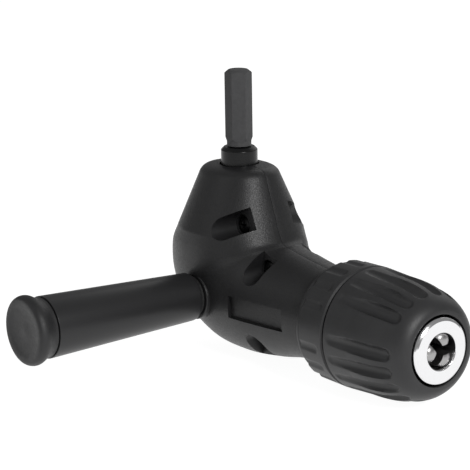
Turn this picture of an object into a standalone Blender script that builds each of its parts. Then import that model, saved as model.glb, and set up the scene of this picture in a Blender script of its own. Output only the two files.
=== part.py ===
"""Right angle drill adapter: a hex shank drives a keyless chuck through a pair of bevel gears.

Every length is in metres. The pieces are modelled about the gear centre, where the shank's axis
(Z), the chuck's axis (X) and the handle's axis (-Y) cross. An empty there carries them all and
puts the world's origin at the centre of the shank's top end face.
"""
import math

import bmesh
import bpy
import numpy as np
from mathutils import Matrix, Vector

# Fits between pieces
FIT = 0.00015           # radial clearance of turned pieces
FACE_GAP = 0.0003       # gap between pieces that sit face to face
OVERCUT = 0.0010        # how far a cutter runs past a face

# Drive shank, heights above the gear centre
SHANK_TOP = 0.0744
SHANK_FLATS = 0.0080
SHANK_BOTTOM = 0.0510
SHANK_NECK_RADIUS = 0.0038
SHANK_CHAMFER = 0.0007
SHANK_LEAD = 0.0014
SHANK_TURN = math.radians(-36.75)
COLLAR_RADIUS = 0.00615
COLLAR_TOP = 0.0484
COLLAR_CHAMFER = 0.0010

# Shafts and bevel gears
SHAFT_RADIUS = 0.0060
SHAFT_SHOULDER = 0.0363
SHAFT_INNER_END = 0.0074
GEAR_SEAT_RADIUS = 0.0045
GEAR_TEETH = 15
GEAR_MODULE = 0.0018
GEAR_INNER_SHARE = 0.62
GEAR_HUB_RADIUS = 0.0085
GEAR_HUB_END = 0.0205
PRESSURE_ANGLE = math.radians(20.0)
GEAR_BACKLASH = 0.00022
FLANK_POINTS = 3

# Bearings, retaining rings, seal and bush
INPUT_BEARING_RADIUS = 0.0105
INPUT_BEARING_WIDTH = 0.0050
INPUT_BEARING_START = 0.0310
OUTPUT_BEARING_RADIUS = 0.0120
OUTPUT_BEARING_WIDTH = 0.0060
OUTPUT_BEARING_START = 0.0430
RACE_THICKNESS = 0.0016
RACE_CHAMFER = 0.0003
RACE_SHOULDER = 0.0012
RING_DEPTH = 0.0008
RING_HEIGHT = 0.0016
RING_SLOT = 0.0012
RING_PLAY = 0.0001
INPUT_RING_TOP = 0.0307
OUTPUT_RING_START = 0.0493
SEAL_THICKNESS = 0.0025
SEAL_RADIUS = 0.0092
SEAL_START = 0.0380
BUSH_WALL = 0.0020
BUSH_LENGTH = 0.0070
BUSH_START = 0.0240

# Housing
WALL = 0.0022
PARTING_GAP = 0.0003
HOOD_TOP = 0.0428
HOOD_TOP_RADIUS = 0.0088
HOOD_SHOULDER = 0.0400
HOOD_SHOULDER_RADIUS = 0.0144
HOOD_SHOULDER_WIDTH = 0.0123
HOOD_ROUNDING_STEPS = 3
HOOD_OPENING_RADIUS = 0.0067
CAVITY_TOP = 0.0260
CAVITY_END = 0.0395
KINK_HEIGHT = 0.0218
KINK_RADIUS = 0.0211
KINK_WIDTH = 0.0197
BELLY_WIDTH = 0.0210
NECK_END = 0.0525
NECK_RADIUS = 0.0145
NECK_OPENING_RADIUS = 0.0085
SQUARENESS = 2.1
POINTS_ROUND_HALF = 14
POCKET_RADIUS = 0.00385
POCKET_FLOOR = 0.0077
POCKETS = (
    (0.0119, 0.0246, 29.0),
    (0.0254, 0.0118, 75.0),
    (0.0262, -0.0126, -100.0),
    (-0.0150, -0.0030, 187.0),
)
POCKET_REACH = 0.0200
POCKET_BOSS_REACH = 0.0120
POST_RADIUS = 0.0040
SCREW_RADIUS = 0.0014
SCREW_HEAD_RADIUS = 0.0027
SCREW_HEAD_HEIGHT = 0.0021
SCREW_LENGTH = 0.0112
SCREW_SINK = 0.0024
PANEL_START = 0.0170
PANEL_LENGTH = 0.0250
PANEL_HEIGHT = 0.0074
PANEL_MIDDLE = -0.0005
PANEL_SIDE = 0.0183
PANEL_SINK = 0.0013
PANEL_FALL = 0.0029

# Side handle, distances from the gear centre along -Y
HANDLE_PAD_RADIUS = 0.0076
HANDLE_PAD_HEIGHT = 0.0050
HANDLE_PAD_FACE = 0.0204
WASHER_THICKNESS = 0.0008
WASHER_RADIUS = 0.0070
STUD_RADIUS = 0.0040
STUD_INNER_END = 0.0124
STUD_OUTER_END = 0.0480
NUT_FLATS = 0.0130
NUT_THICKNESS = 0.0062
NUT_INNER_FACE = 0.0130
NUT_BOSS_RADIUS = 0.0094
GRIP_LENGTH = 0.0573
GRIP_ROOT_RADIUS = 0.0081
GRIP_END_RADIUS = 0.0102
GRIP_HOLLOW_RADIUS = 0.0074
GRIP_WEB_LENGTH = 0.0300
CAP_LENGTH = 0.0074
CAP_BEAD_RADIUS = 0.01144
CAP_NECK_RADIUS = 0.0098
CAP_PLUG_LENGTH = 0.0080
CAP_DISH = 0.0009

# Keyless chuck, places along X
CHUCK_REAR = 0.0532
CHUCK_SEAM = 0.0670
CHUCK_NOSE = 0.10074
SLEEVE_WALL = 0.0028
CHUCK_REAR_SLOPE = 0.0025
CHUCK_REAR_CHAMFER = 0.0028
COLLAR_HOLE_RADIUS = 0.0066
SEAM_WIDTH = 0.0005
NOSE_RING_RADIUS = 0.01066
NOSE_GAP = 0.0007
NOSE_CHAMFER = 0.0004
NOSE_HOLE_RADIUS = 0.00583
NOSE_CURVE_START = 0.0750
NOSE_CURVE_SHARE = 0.992
NOSE_LIP_WALL = 0.0010
NOSE_STEPS = 6
SLEEVE_TAPER = 0.07
SLEEVE_FRONT = 0.0998
SLEEVE_LIP = 0.0022
SLEEVE_PLAY = 0.0005
BODY_REAR = 0.0562
COLLAR_WALL = 0.00225
BODY_FRONT_RADIUS = 0.0134
BODY_GROOVE_RADIUS = 0.0114
BODY_FLOOR = 0.0650
BODY_FLOOR_THICKNESS = 0.0020
CHUCK_THREAD_RADIUS = 0.00476
SPINDLE_END = 0.0647
LOCK_SCREW_RADIUS = 0.0025
LOCK_HEAD_RADIUS = 0.0042
LOCK_HEAD_HEIGHT = 0.0028
LOCK_SCREW_LENGTH = 0.0120
THRUST_THICKNESS = 0.0021
JAW_NUT_START = 0.0702
JAW_NUT_LENGTH = 0.0073
JAW_NUT_WALL = 0.0020
BAND_THICKNESS = 0.0009
FLUTE_POSITIONS = 18
FLUTE_GROUP = 6
FLUTE_PHASE = math.radians(158.0)
FLUTE_RADIUS = 0.0023
FLUTE_START = 0.0712
FLUTE_END = 0.0940
FLUTE_START_DEPTH = 0.0006
FLUTE_END_DEPTH = 0.0015
FLUTE_STEPS = 8
COLLAR_FLUTE_PHASE = math.radians(172.0)
COLLAR_FLUTE_END = 0.0630
COLLAR_FLUTE_DEPTH = 0.0009

# Jaws
JAW_COUNT = 3
JAW_RADIUS = 0.0031
JAW_ANGLE = math.radians(15.0)
JAW_TIP = 0.1020
JAW_TIP_OFFSET = 0.0001
JAW_LENGTH = 0.0290
JAW_DOME = 0.0012
JAW_OPENING = 0.0018
JAW_PHASE = math.radians(185.0)
JAW_BORE_REAR = 0.0600

# Facet counts of turned pieces
FINE_STEPS = 36
GRIP_STEPS = 28
MEDIUM_STEPS = 24
SMALL_STEPS = 16

MERGE = 0.00001
OPEN_SPACE = 0.0400

for old in list(bpy.data.objects):
    bpy.data.objects.remove(old, do_unlink=True)

parts = bpy.data.collections.new("right_angle_drill_adapter")
cutters = bpy.data.collections.new("cutters")
bpy.context.scene.collection.children.link(parts)
bpy.context.scene.collection.children.link(cutters)

gear_centre = bpy.data.objects.new("gear_centre", None)
gear_centre.location = (0, 0, -SHANK_TOP)
gear_centre.empty_display_size = 0.01
parts.objects.link(gear_centre)

ALONG_Z = (0, 0, 0)
ALONG_X = (0, math.pi / 2, 0)
ALONG_HANDLE = (math.pi / 2, 0, 0)


def material(name, colour, roughness, metallic=0.0):
    made = bpy.data.materials.new(name)
    made.use_nodes = True
    shader = made.node_tree.nodes["Principled BSDF"]
    shader.inputs["Base Color"].default_value = (*colour, 1)
    shader.inputs["Roughness"].default_value = roughness
    shader.inputs["Metallic"].default_value = metallic
    return made


BLACK_PLASTIC = material("black_moulded_plastic", (0.022, 0.022, 0.023), 0.55)
HANDLE_PLASTIC = material("handle_plastic", (0.018, 0.018, 0.019), 0.35)
BLACK_RUBBER = material("black_rubber", (0.03, 0.03, 0.03), 0.7)
BLACKED_STEEL = material("blacked_steel", (0.08, 0.08, 0.082), 0.42, 0.8)
BRIGHT_STEEL = material("bright_steel", (0.62, 0.62, 0.63), 0.25, 1.0)
CHROME = material("chrome", (0.8, 0.8, 0.81), 0.08, 1.0)
GEAR_STEEL = material("gear_steel", (0.35, 0.35, 0.36), 0.4, 1.0)
BRONZE = material("sintered_bronze", (0.45, 0.27, 0.12), 0.5, 1.0)


def place(obj, look, collection):
    """Links an object, gives it its material and carries it on the gear centre."""
    collection.objects.link(obj)
    obj.parent = gear_centre
    if look:
        obj.data.materials.append(look)
    if collection == cutters:
        obj.hide_render = True
        obj.display_type = "WIRE"
    return obj


def turned(name, profile, along=ALONG_Z, look=None, steps=MEDIUM_STEPS, collection=parts):
    """Spins a profile of (radius, place) points; it runs down the outside, top to bottom.

    A profile whose first and last points lie on the axis is a solid; any other is closed into
    a ring.
    """
    mesh = bpy.data.meshes.new(name)
    points = [(radius, 0, height) for radius, height in profile]
    edges = [(i, i + 1) for i in range(len(points) - 1)]
    if profile[0][0] > 0:
        edges.append((len(points) - 1, 0))
    mesh.from_pydata(points, edges, [])
    obj = place(bpy.data.objects.new(name, mesh), look, collection)
    obj.rotation_euler = along
    screw = obj.modifiers.new("Spin", "SCREW")
    screw.axis = "Z"
    screw.steps = steps
    screw.render_steps = steps
    screw.use_merge_vertices = True
    screw.merge_threshold = MERGE
    screw.use_smooth_shade = steps > 6
    return obj


def rod(name, radius, low, high, along, look, steps=MEDIUM_STEPS, chamfer=0.0, collection=parts):
    """A turned rod between two places on its axis, with chamfered ends where asked."""
    if chamfer:
        profile = [(0, high), (radius - chamfer, high), (radius, high - chamfer),
                   (radius, low + chamfer), (radius - chamfer, low), (0, low)]
    else:
        profile = [(0, high), (radius, high), (radius, low), (0, low)]
    return turned(name, profile, along, look, steps, collection)


def ring(name, inner, outer, low, high, along, look, steps=MEDIUM_STEPS, chamfer=0.0, collection=parts):
    """A turned ring with a plain bore, its outer edges chamfered where asked."""
    if chamfer:
        profile = [(inner, high), (outer - chamfer, high), (outer, high - chamfer),
                   (outer, low + chamfer), (outer - chamfer, low), (inner, low)]
    else:
        profile = [(inner, high), (outer, high), (outer, low), (inner, low)]
    return turned(name, profile, along, look, steps, collection)


def boolean(obj, other, operation):
    modifier = obj.modifiers.new(operation.title() + " " + other.name, "BOOLEAN")
    modifier.operation = operation
    modifier.object = other
    modifier.solver = "EXACT"


def box(name, low, high, collection=cutters):
    """A box between two corners of its own frame."""
    mesh = bpy.data.meshes.new(name)
    shape = bmesh.new()
    bmesh.ops.create_cube(shape, size=1.0)
    low, high = Vector(low), Vector(high)
    bmesh.ops.scale(shape, vec=high - low, verts=shape.verts)
    bmesh.ops.translate(shape, vec=(low + high) / 2, verts=shape.verts)
    shape.to_mesh(mesh)
    shape.free()
    return place(bpy.data.objects.new(name, mesh), None, collection)


def add_grid(shape, loops, closed):
    """Skins loops of points, capped at its ends or with the last loop joined to the first."""
    count, around = loops.shape[:2]
    verts = [[shape.verts.new(point) for point in loop] for loop in loops]
    for i in range(count if closed else count - 1):
        here, after = verts[i], verts[(i + 1) % count]
        for j in range(around):
            k = (j + 1) % around
            shape.faces.new((here[j], here[k], after[k], after[j]))
    if not closed:
        shape.faces.new(reversed(verts[0]))
        shape.faces.new(verts[-1])


def mesh_object(name, shape, look, collection):
    """Turns a finished bmesh into an object with its faces pointing out and smooth shading."""
    bmesh.ops.recalc_face_normals(shape, faces=shape.faces)
    mesh = bpy.data.meshes.new(name)
    shape.to_mesh(mesh)
    shape.free()
    mesh.shade_smooth()
    mesh.set_sharp_from_angle(angle=math.radians(35))
    return place(bpy.data.objects.new(name, mesh), look, collection)


def grid_solid(name, loops, look=None, collection=parts, closed=False):
    shape = bmesh.new()
    add_grid(shape, np.array(loops), closed)
    return mesh_object(name, shape, look, collection)


# Housing: a hood round the input shaft, a belly round the gears and a neck to the chuck.
# Each station is front x, front z, back x, back z and half width. The hood's sections are
# level, the belly's turn about the corner under the hood, and the neck's stand upright.
HOUSING_STATIONS = np.array((
    (HOOD_SHOULDER_RADIUS, HOOD_SHOULDER, -HOOD_SHOULDER_RADIUS, HOOD_SHOULDER, HOOD_SHOULDER_WIDTH),
    (KINK_RADIUS, KINK_HEIGHT, -KINK_RADIUS, KINK_HEIGHT, KINK_WIDTH),
    (0.0226, 0.0193, -0.0248, 0.0145, BELLY_WIDTH),
    (0.0240, 0.0185, -0.0243, 0.0024, BELLY_WIDTH - 0.0003),
    (0.0253, 0.0182, -0.0182, -0.0094, 0.0199),
    (0.0270, 0.0180, -0.0030, -0.0179, 0.0188),
    (0.0295, 0.0176, 0.0140, -0.0195, 0.0184),
    (0.0345, 0.0168, 0.0290, -0.0180, 0.0173),
    (0.0425, 0.0157, 0.0400, -0.0159, 0.0160),
    (NECK_END, NECK_RADIUS, NECK_END, -NECK_RADIUS, NECK_RADIUS - 0.0002),
))
SECTIONS_PER_SPAN = 2
SECTION_MARGIN = 0.2


def station(place_along):
    """The section at a place along the stations, straight on the hood and smooth below it."""
    last = len(HOUSING_STATIONS) - 1
    index = min(int(place_along), last - 1)
    share = place_along - index
    here, after = HOUSING_STATIONS[index], HOUSING_STATIONS[index + 1]
    if index == 0:
        return here + (after - here) * share
    before = HOUSING_STATIONS[index - 1] if index > 1 else 2 * here - after
    beyond = HOUSING_STATIONS[index + 2] if index + 2 <= last else 2 * after - here
    slope_here, slope_after = (after - before) / 2, (beyond - here) / 2
    return (here * (2 * share ** 3 - 3 * share ** 2 + 1) + after * (3 * share ** 2 - 2 * share ** 3)
            + slope_here * (share ** 3 - 2 * share ** 2 + share) + slope_after * (share ** 3 - share ** 2))


def half_section(values, side, inset):
    """A half ellipse, slightly squared, from the front point round one side to the back point.

    The cavity's sections also reach a little past the parting face, so that it opens there.
    """
    front = Vector((values[0], 0, values[1]))
    back = Vector((values[2], 0, values[3]))
    middle, reach = (front + back) / 2, (front - back) / 2
    reach = reach * (1 - inset / reach.length)
    width = values[4] - inset
    loop = []
    for step in range(POINTS_ROUND_HALF + 1):
        angle = math.pi * step / POINTS_ROUND_HALF
        along = math.copysign(abs(math.cos(angle)) ** (2 / SQUARENESS), math.cos(angle))
        across = math.sin(angle) ** (2 / SQUARENESS)
        point = middle + reach * along
        point.y = side * (PARTING_GAP / 2 + width * across)
        loop.append(point)
    if inset:
        loop = [Vector((loop[0].x, -side * OVERCUT, loop[0].z))] + loop
        loop.append(Vector((loop[-1].x, -side * OVERCUT, loop[-1].z)))
    return [tuple(point) for point in loop]


def housing_form(name, side, inset=0.0, start=0.0, end=None, look=None, collection=parts):
    """Half of the housing's outer form, or of the cavity one wall inside it."""
    last = len(HOUSING_STATIONS) - 1
    end = last if end is None else end
    loops = []
    if inset == 0:
        for step in range(HOOD_ROUNDING_STEPS):
            turn = math.pi / 2 * step / HOOD_ROUNDING_STEPS
            radius = HOOD_TOP_RADIUS + (HOOD_SHOULDER_RADIUS - HOOD_TOP_RADIUS) * math.sin(turn)
            height = HOOD_SHOULDER + (HOOD_TOP - HOOD_SHOULDER) * math.cos(turn)
            width = radius * HOOD_SHOULDER_WIDTH / HOOD_SHOULDER_RADIUS
            loops.append(half_section((radius, height, -radius, height, width), side, 0))
    inner = [i / SECTIONS_PER_SPAN for i in range(last * SECTIONS_PER_SPAN + 1)]
    inner = [i for i in inner if start + SECTION_MARGIN < i < end - SECTION_MARGIN]
    for place_along in [start] + inner + [end]:
        loops.append(half_section(station(place_along), side, inset))
    return grid_solid(name, loops, look, collection)


def pegs(name, radius, low, high, side, reach=0.0, collection=cutters):
    """A peg along Y for each screw: round, or with a reach a slot with one round end.

    The slot's straight end points the way that the pocket opens.
    """
    shape = bmesh.new()
    for x, z, opens in POCKETS:
        way = np.radians(opens)
        if reach:
            angles = way + np.linspace(math.pi / 2, 3 * math.pi / 2, SMALL_STEPS // 2 + 1)
            points = np.stack([x + radius * np.cos(angles), z + radius * np.sin(angles)], 1)
            ends = points[[-1, 0]] + reach * np.array((math.cos(way), math.sin(way)))
            points = np.vstack([points, ends])
        else:
            angles = np.linspace(0, 2 * math.pi, SMALL_STEPS, endpoint=False)
            points = np.stack([x + radius * np.cos(angles), z + radius * np.sin(angles)], 1)
        loops = [np.insert(points, 1, side * distance, axis=1) for distance in (low, high)]
        add_grid(shape, np.array(loops), closed=False)
    return mesh_object(name, shape, None, collection)


cavity_start = (HOOD_SHOULDER - CAVITY_TOP) / (HOOD_SHOULDER - KINK_HEIGHT)
cavity_end = float(np.interp(CAVITY_END, HOUSING_STATIONS[:, 0], np.arange(len(HOUSING_STATIONS))))

input_seat = turned("input_seat_cutter", [
    (0, HOOD_TOP + OVERCUT), (HOOD_OPENING_RADIUS, HOOD_TOP + OVERCUT),
    (HOOD_OPENING_RADIUS, SEAL_START + SEAL_THICKNESS + FACE_GAP),
    (SEAL_RADIUS + FIT, SEAL_START + SEAL_THICKNESS + FACE_GAP), (SEAL_RADIUS + FIT, SEAL_START - FACE_GAP),
    (SEAL_RADIUS - 0.0012, SEAL_START - FACE_GAP),
    (SEAL_RADIUS - 0.0012, INPUT_BEARING_START + INPUT_BEARING_WIDTH + FACE_GAP),
    (INPUT_BEARING_RADIUS + FIT, INPUT_BEARING_START + INPUT_BEARING_WIDTH + FACE_GAP),
    (INPUT_BEARING_RADIUS + FIT, INPUT_BEARING_START - FACE_GAP),
    (INPUT_BEARING_RADIUS - RACE_SHOULDER, INPUT_BEARING_START - FACE_GAP),
    (INPUT_BEARING_RADIUS - RACE_SHOULDER, CAVITY_TOP - OVERCUT), (0, CAVITY_TOP - OVERCUT),
], ALONG_Z, None, MEDIUM_STEPS, cutters)

output_seat = turned("output_seat_cutter", [
    (0, NECK_END + OVERCUT), (NECK_OPENING_RADIUS, NECK_END + OVERCUT),
    (NECK_OPENING_RADIUS, OUTPUT_BEARING_START + OUTPUT_BEARING_WIDTH + FACE_GAP),
    (OUTPUT_BEARING_RADIUS + FIT, OUTPUT_BEARING_START + OUTPUT_BEARING_WIDTH + FACE_GAP),
    (OUTPUT_BEARING_RADIUS + FIT, OUTPUT_BEARING_START - FACE_GAP),
    (OUTPUT_BEARING_RADIUS - RACE_SHOULDER, OUTPUT_BEARING_START - FACE_GAP),
    (OUTPUT_BEARING_RADIUS - RACE_SHOULDER, BUSH_START + BUSH_LENGTH + WALL),
    (SHAFT_RADIUS + BUSH_WALL + FIT, BUSH_START + BUSH_LENGTH + WALL),
    (SHAFT_RADIUS + BUSH_WALL + FIT, BUSH_START - OVERCUT), (0, BUSH_START - OVERCUT),
], ALONG_X, None, MEDIUM_STEPS, cutters)

bush_web = rod("bush_web", OPEN_SPACE, BUSH_START, BUSH_START + BUSH_LENGTH, ALONG_X, None, SMALL_STEPS,
               0, cutters)

boss_radius = POCKET_RADIUS + WALL
boss_start = POCKET_FLOOR - WALL
screw_seat = POCKET_FLOOR - SCREW_SINK
for side, side_name in ((-1, "left"), (1, "right")):
    cavity = housing_form("cavity_" + side_name, side, WALL, cavity_start, cavity_end, None, cutters)
    bosses = pegs("bosses_" + side_name, boss_radius, boss_start, OPEN_SPACE, side, POCKET_BOSS_REACH)
    posts = pegs("posts_" + side_name, POST_RADIUS, -2 * OVERCUT, boss_start + OVERCUT, side)
    sinks = pegs("screw_sinks_" + side_name, SCREW_HEAD_RADIUS + FIT, screw_seat, POCKET_FLOOR + OVERCUT,
                 side)
    boolean(cavity, bosses, "DIFFERENCE")
    boolean(cavity, posts, "DIFFERENCE")
    boolean(cavity, bush_web, "DIFFERENCE")
    half = housing_form("housing_" + side_name, side, 0, 0, None, BLACK_PLASTIC)
    pockets = pegs("pockets_" + side_name, POCKET_RADIUS, POCKET_FLOOR, OPEN_SPACE, side, POCKET_REACH)
    hole_end = screw_seat + OVERCUT if side < 0 else SCREW_LENGTH - screw_seat + FACE_GAP
    holes = pegs("screw_holes_" + side_name, SCREW_RADIUS + FIT, -OVERCUT, hole_end, side)
    if side < 0:
        nut_boss = rod("handle_nut_boss", NUT_BOSS_RADIUS, NUT_INNER_FACE - FACE_GAP, HANDLE_PAD_FACE,
                       ALONG_HANDLE, None, MEDIUM_STEPS, 0, cutters)
        boolean(cavity, nut_boss, "DIFFERENCE")
        pad = rod("handle_pad", HANDLE_PAD_RADIUS, HANDLE_PAD_FACE - HANDLE_PAD_HEIGHT, HANDLE_PAD_FACE,
                  ALONG_HANDLE, None, MEDIUM_STEPS, 0.0003, cutters)
        boolean(half, pad, "UNION")
    boolean(half, cavity, "DIFFERENCE")
    boolean(half, pockets, "DIFFERENCE")
    boolean(half, sinks, "DIFFERENCE")
    boolean(half, holes, "DIFFERENCE")
    boolean(half, input_seat, "DIFFERENCE")
    boolean(half, output_seat, "DIFFERENCE")
    if side < 0:
        nut_room = rod("nut_room", NUT_FLATS / math.sqrt(3) + FACE_GAP, NUT_INNER_FACE - OVERCUT,
                       NUT_INNER_FACE + NUT_THICKNESS + FACE_GAP, ALONG_HANDLE, None, 6, 0, cutters)
        stud_hole = rod("stud_hole", STUD_RADIUS + FIT, NUT_INNER_FACE, HANDLE_PAD_FACE + OVERCUT,
                        ALONG_HANDLE, None, MEDIUM_STEPS, 0, cutters)
        boolean(half, nut_room, "DIFFERENCE")
        boolean(half, stud_hole, "DIFFERENCE")
        panel = box("panel_recess", (0, -POCKET_FLOOR, -PANEL_HEIGHT / 2),
                    (PANEL_LENGTH, 0, PANEL_HEIGHT / 2))
        panel.location = (PANEL_START, PANEL_SINK - PANEL_SIDE, PANEL_MIDDLE)
        panel.rotation_euler = (0, 0, math.atan2(PANEL_FALL, PANEL_LENGTH))
        boolean(half, panel, "DIFFERENCE")

for number, (x, z, opens) in enumerate(POCKETS, 1):
    head = screw_seat + FACE_GAP
    screw = turned("housing_screw_%d" % number, [
        (0, head + SCREW_HEAD_HEIGHT), (SCREW_HEAD_RADIUS * 0.8, head + SCREW_HEAD_HEIGHT),
        (SCREW_HEAD_RADIUS, head + SCREW_HEAD_HEIGHT * 0.6), (SCREW_HEAD_RADIUS, head), (SCREW_RADIUS, head),
        (SCREW_RADIUS, head - SCREW_LENGTH + SCREW_RADIUS), (0, head - SCREW_LENGTH),
    ], ALONG_HANDLE, BLACKED_STEEL, 16)
    screw.location = (x, 0, z)

# Drive shank: one steel shaft from the hexagon through its collar to the bevel gear's seat
corner = SHANK_FLATS / math.sqrt(3)
shank = turned("drive_shank", [
    (0, SHANK_TOP), (corner - SHANK_LEAD, SHANK_TOP), (corner, SHANK_TOP - SHANK_LEAD),
    (corner, SHANK_BOTTOM), (SHANK_NECK_RADIUS, SHANK_BOTTOM - SHANK_CHAMFER),
    (SHANK_NECK_RADIUS, COLLAR_TOP + SHANK_CHAMFER), (COLLAR_RADIUS - COLLAR_CHAMFER, COLLAR_TOP),
    (COLLAR_RADIUS, COLLAR_TOP - COLLAR_CHAMFER), (COLLAR_RADIUS, SHAFT_SHOULDER),
    (SHAFT_RADIUS - FIT, SHAFT_SHOULDER), (SHAFT_RADIUS - FIT, INPUT_RING_TOP),
    (SHAFT_RADIUS - RING_DEPTH, INPUT_RING_TOP), (SHAFT_RADIUS - RING_DEPTH, INPUT_RING_TOP - RING_SLOT),
    (SHAFT_RADIUS - FIT, INPUT_RING_TOP - RING_SLOT), (SHAFT_RADIUS - FIT, GEAR_HUB_END + FACE_GAP),
    (GEAR_SEAT_RADIUS, GEAR_HUB_END + FACE_GAP), (GEAR_SEAT_RADIUS, SHAFT_INNER_END + 0.0005),
    (GEAR_SEAT_RADIUS - 0.0005, SHAFT_INNER_END), (0, SHAFT_INNER_END),
], ALONG_Z, BLACKED_STEEL, MEDIUM_STEPS)
hexagon = turned("hexagon_cutter", [
    (corner, SHANK_TOP + OVERCUT), (2 * corner, SHANK_TOP + OVERCUT),
    (2 * corner, SHANK_BOTTOM - SHANK_CHAMFER), (corner, SHANK_BOTTOM - SHANK_CHAMFER),
], ALONG_Z, None, 6, cutters)
hexagon.rotation_euler = (0, 0, SHANK_TURN + math.radians(30))
boolean(shank, hexagon, "DIFFERENCE")


# Bevel gears: equal, with their pitch cones meeting at the gear centre
def bevel_gear(name, along, look):
    """A straight bevel gear whose outline runs to the gear centre.

    The teeth are drawn on the back cone, unrolled into a spur gear (Tredgold's method), and
    every point of the small end is the big end's point drawn towards the gear centre.
    """
    pitch_radius = GEAR_MODULE * GEAR_TEETH / 2
    back_radius = pitch_radius * math.sqrt(2)
    base_radius = back_radius * math.cos(PRESSURE_ANGLE)
    involute = math.tan(PRESSURE_ANGLE) - PRESSURE_ANGLE
    root, tip = back_radius - 1.2 * GEAR_MODULE, back_radius + GEAR_MODULE
    flank = [(max(radius, base_radius), radius) for radius in np.linspace(root, tip, FLANK_POINTS)]
    outline = []
    for tooth in range(GEAR_TEETH):
        centre = 2 * math.pi * tooth / GEAR_TEETH
        rising = []
        for working, radius in flank:
            roll = math.acos(base_radius / working)
            half = math.pi * GEAR_MODULE / 4 / back_radius + involute - (math.tan(roll) - roll)
            half = half * working - GEAR_BACKLASH / 2
            distance = pitch_radius + (radius - back_radius) / math.sqrt(2)
            rising.append((distance, half / distance))
        outline += [(distance, centre - half) for distance, half in rising]
        outline += [(distance, centre + half) for distance, half in reversed(rising)]
    outline = np.array(outline)
    angles = outline[:, 1]

    def loop(radius, height):
        radius = np.broadcast_to(radius, angles.shape)
        height = np.broadcast_to(height, angles.shape)
        return np.stack([radius * np.cos(angles), radius * np.sin(angles), height], 1)

    big = loop(outline[:, 0], 2 * pitch_radius - outline[:, 0])
    back = 2 * pitch_radius - outline[:, 0].min() + 0.0006
    bore = GEAR_SEAT_RADIUS + FIT
    front = big[:, 2].max() * GEAR_INNER_SHARE - 0.0004
    loops = [big * GEAR_INNER_SHARE, big, loop(GEAR_HUB_RADIUS, back), loop(GEAR_HUB_RADIUS, GEAR_HUB_END),
             loop(bore, GEAR_HUB_END), loop(bore, front)]
    gear = grid_solid(name, loops, look, parts, closed=True)
    gear.rotation_euler = along
    return gear


bevel_gear("input_gear", ALONG_Z, GEAR_STEEL)
bevel_gear("output_gear", ALONG_X, GEAR_STEEL)


# Ball bearings: an outer race in the housing and an inner race on the shaft
def bearing(kind, bore, outer, start, width, along):
    race = RACE_THICKNESS
    ring(kind + "_bearing_outer", outer - race, outer, start, start + width, along, BRIGHT_STEEL,
         MEDIUM_STEPS, RACE_CHAMFER)
    ring(kind + "_bearing_inner", bore, bore + race, start, start + width, along, BRIGHT_STEEL,
         MEDIUM_STEPS, 0)


bearing("input", SHAFT_RADIUS, INPUT_BEARING_RADIUS, INPUT_BEARING_START, INPUT_BEARING_WIDTH, ALONG_Z)
bearing("output", SHAFT_RADIUS, OUTPUT_BEARING_RADIUS, OUTPUT_BEARING_START, OUTPUT_BEARING_WIDTH, ALONG_X)
ring("input_retaining_ring", SHAFT_RADIUS - RING_DEPTH + FIT, SHAFT_RADIUS + RING_HEIGHT,
     INPUT_RING_TOP - RING_SLOT + RING_PLAY, INPUT_RING_TOP - RING_PLAY, ALONG_Z, BRIGHT_STEEL, SMALL_STEPS)
ring("output_retaining_ring", SHAFT_RADIUS - RING_DEPTH + FIT, SHAFT_RADIUS + RING_HEIGHT,
     OUTPUT_RING_START + RING_PLAY, OUTPUT_RING_START + RING_SLOT - RING_PLAY, ALONG_X, BRIGHT_STEEL,
     SMALL_STEPS)
ring("input_seal", COLLAR_RADIUS + FIT, SEAL_RADIUS, SEAL_START, SEAL_START + SEAL_THICKNESS, ALONG_Z,
     BLACK_RUBBER, MEDIUM_STEPS)
ring("output_bush", SHAFT_RADIUS, SHAFT_RADIUS + BUSH_WALL, BUSH_START, BUSH_START + BUSH_LENGTH, ALONG_X,
     BRONZE, MEDIUM_STEPS)

# Output spindle: gear seat, bearing shaft and the thread that carries the chuck
turned("output_spindle", [
    (LOCK_SCREW_RADIUS + FIT, SPINDLE_END), (CHUCK_THREAD_RADIUS, SPINDLE_END),
    (CHUCK_THREAD_RADIUS, BODY_REAR - FACE_GAP),
    (SHAFT_RADIUS - FIT, BODY_REAR - FACE_GAP), (SHAFT_RADIUS - FIT, OUTPUT_RING_START + RING_SLOT),
    (SHAFT_RADIUS - RING_DEPTH, OUTPUT_RING_START + RING_SLOT),
    (SHAFT_RADIUS - RING_DEPTH, OUTPUT_RING_START),
    (SHAFT_RADIUS - FIT, OUTPUT_RING_START), (SHAFT_RADIUS - FIT, GEAR_HUB_END + FACE_GAP),
    (GEAR_SEAT_RADIUS, GEAR_HUB_END + FACE_GAP), (GEAR_SEAT_RADIUS, SHAFT_INNER_END + 0.0005),
    (GEAR_SEAT_RADIUS - 0.0005, SHAFT_INNER_END), (0, SHAFT_INNER_END),
    (0, SPINDLE_END - LOCK_SCREW_LENGTH), (LOCK_SCREW_RADIUS + FIT, SPINDLE_END - LOCK_SCREW_LENGTH),
], ALONG_X, BRIGHT_STEEL, MEDIUM_STEPS)

# Keyless chuck
jaw_apex = JAW_TIP + (JAW_OPENING + JAW_TIP_OFFSET) / math.tan(JAW_ANGLE)


def jaw_reach(x):
    """How far from the chuck's axis the outside of a jaw lies at a place along it."""
    return (jaw_apex - x) * math.tan(JAW_ANGLE) + JAW_RADIUS / math.cos(JAW_ANGLE)


def jaw_frame(number):
    """The turn that lays local Z along a jaw's slide, forwards and inwards."""
    tilt = Matrix(((math.sin(JAW_ANGLE), 0, math.cos(JAW_ANGLE)),
                   (math.cos(JAW_ANGLE), 0, -math.sin(JAW_ANGLE)),
                   (0, 1, 0)))
    return Matrix.Rotation(JAW_PHASE + 2 * math.pi * number / JAW_COUNT, 3, "X") @ tilt


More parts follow.
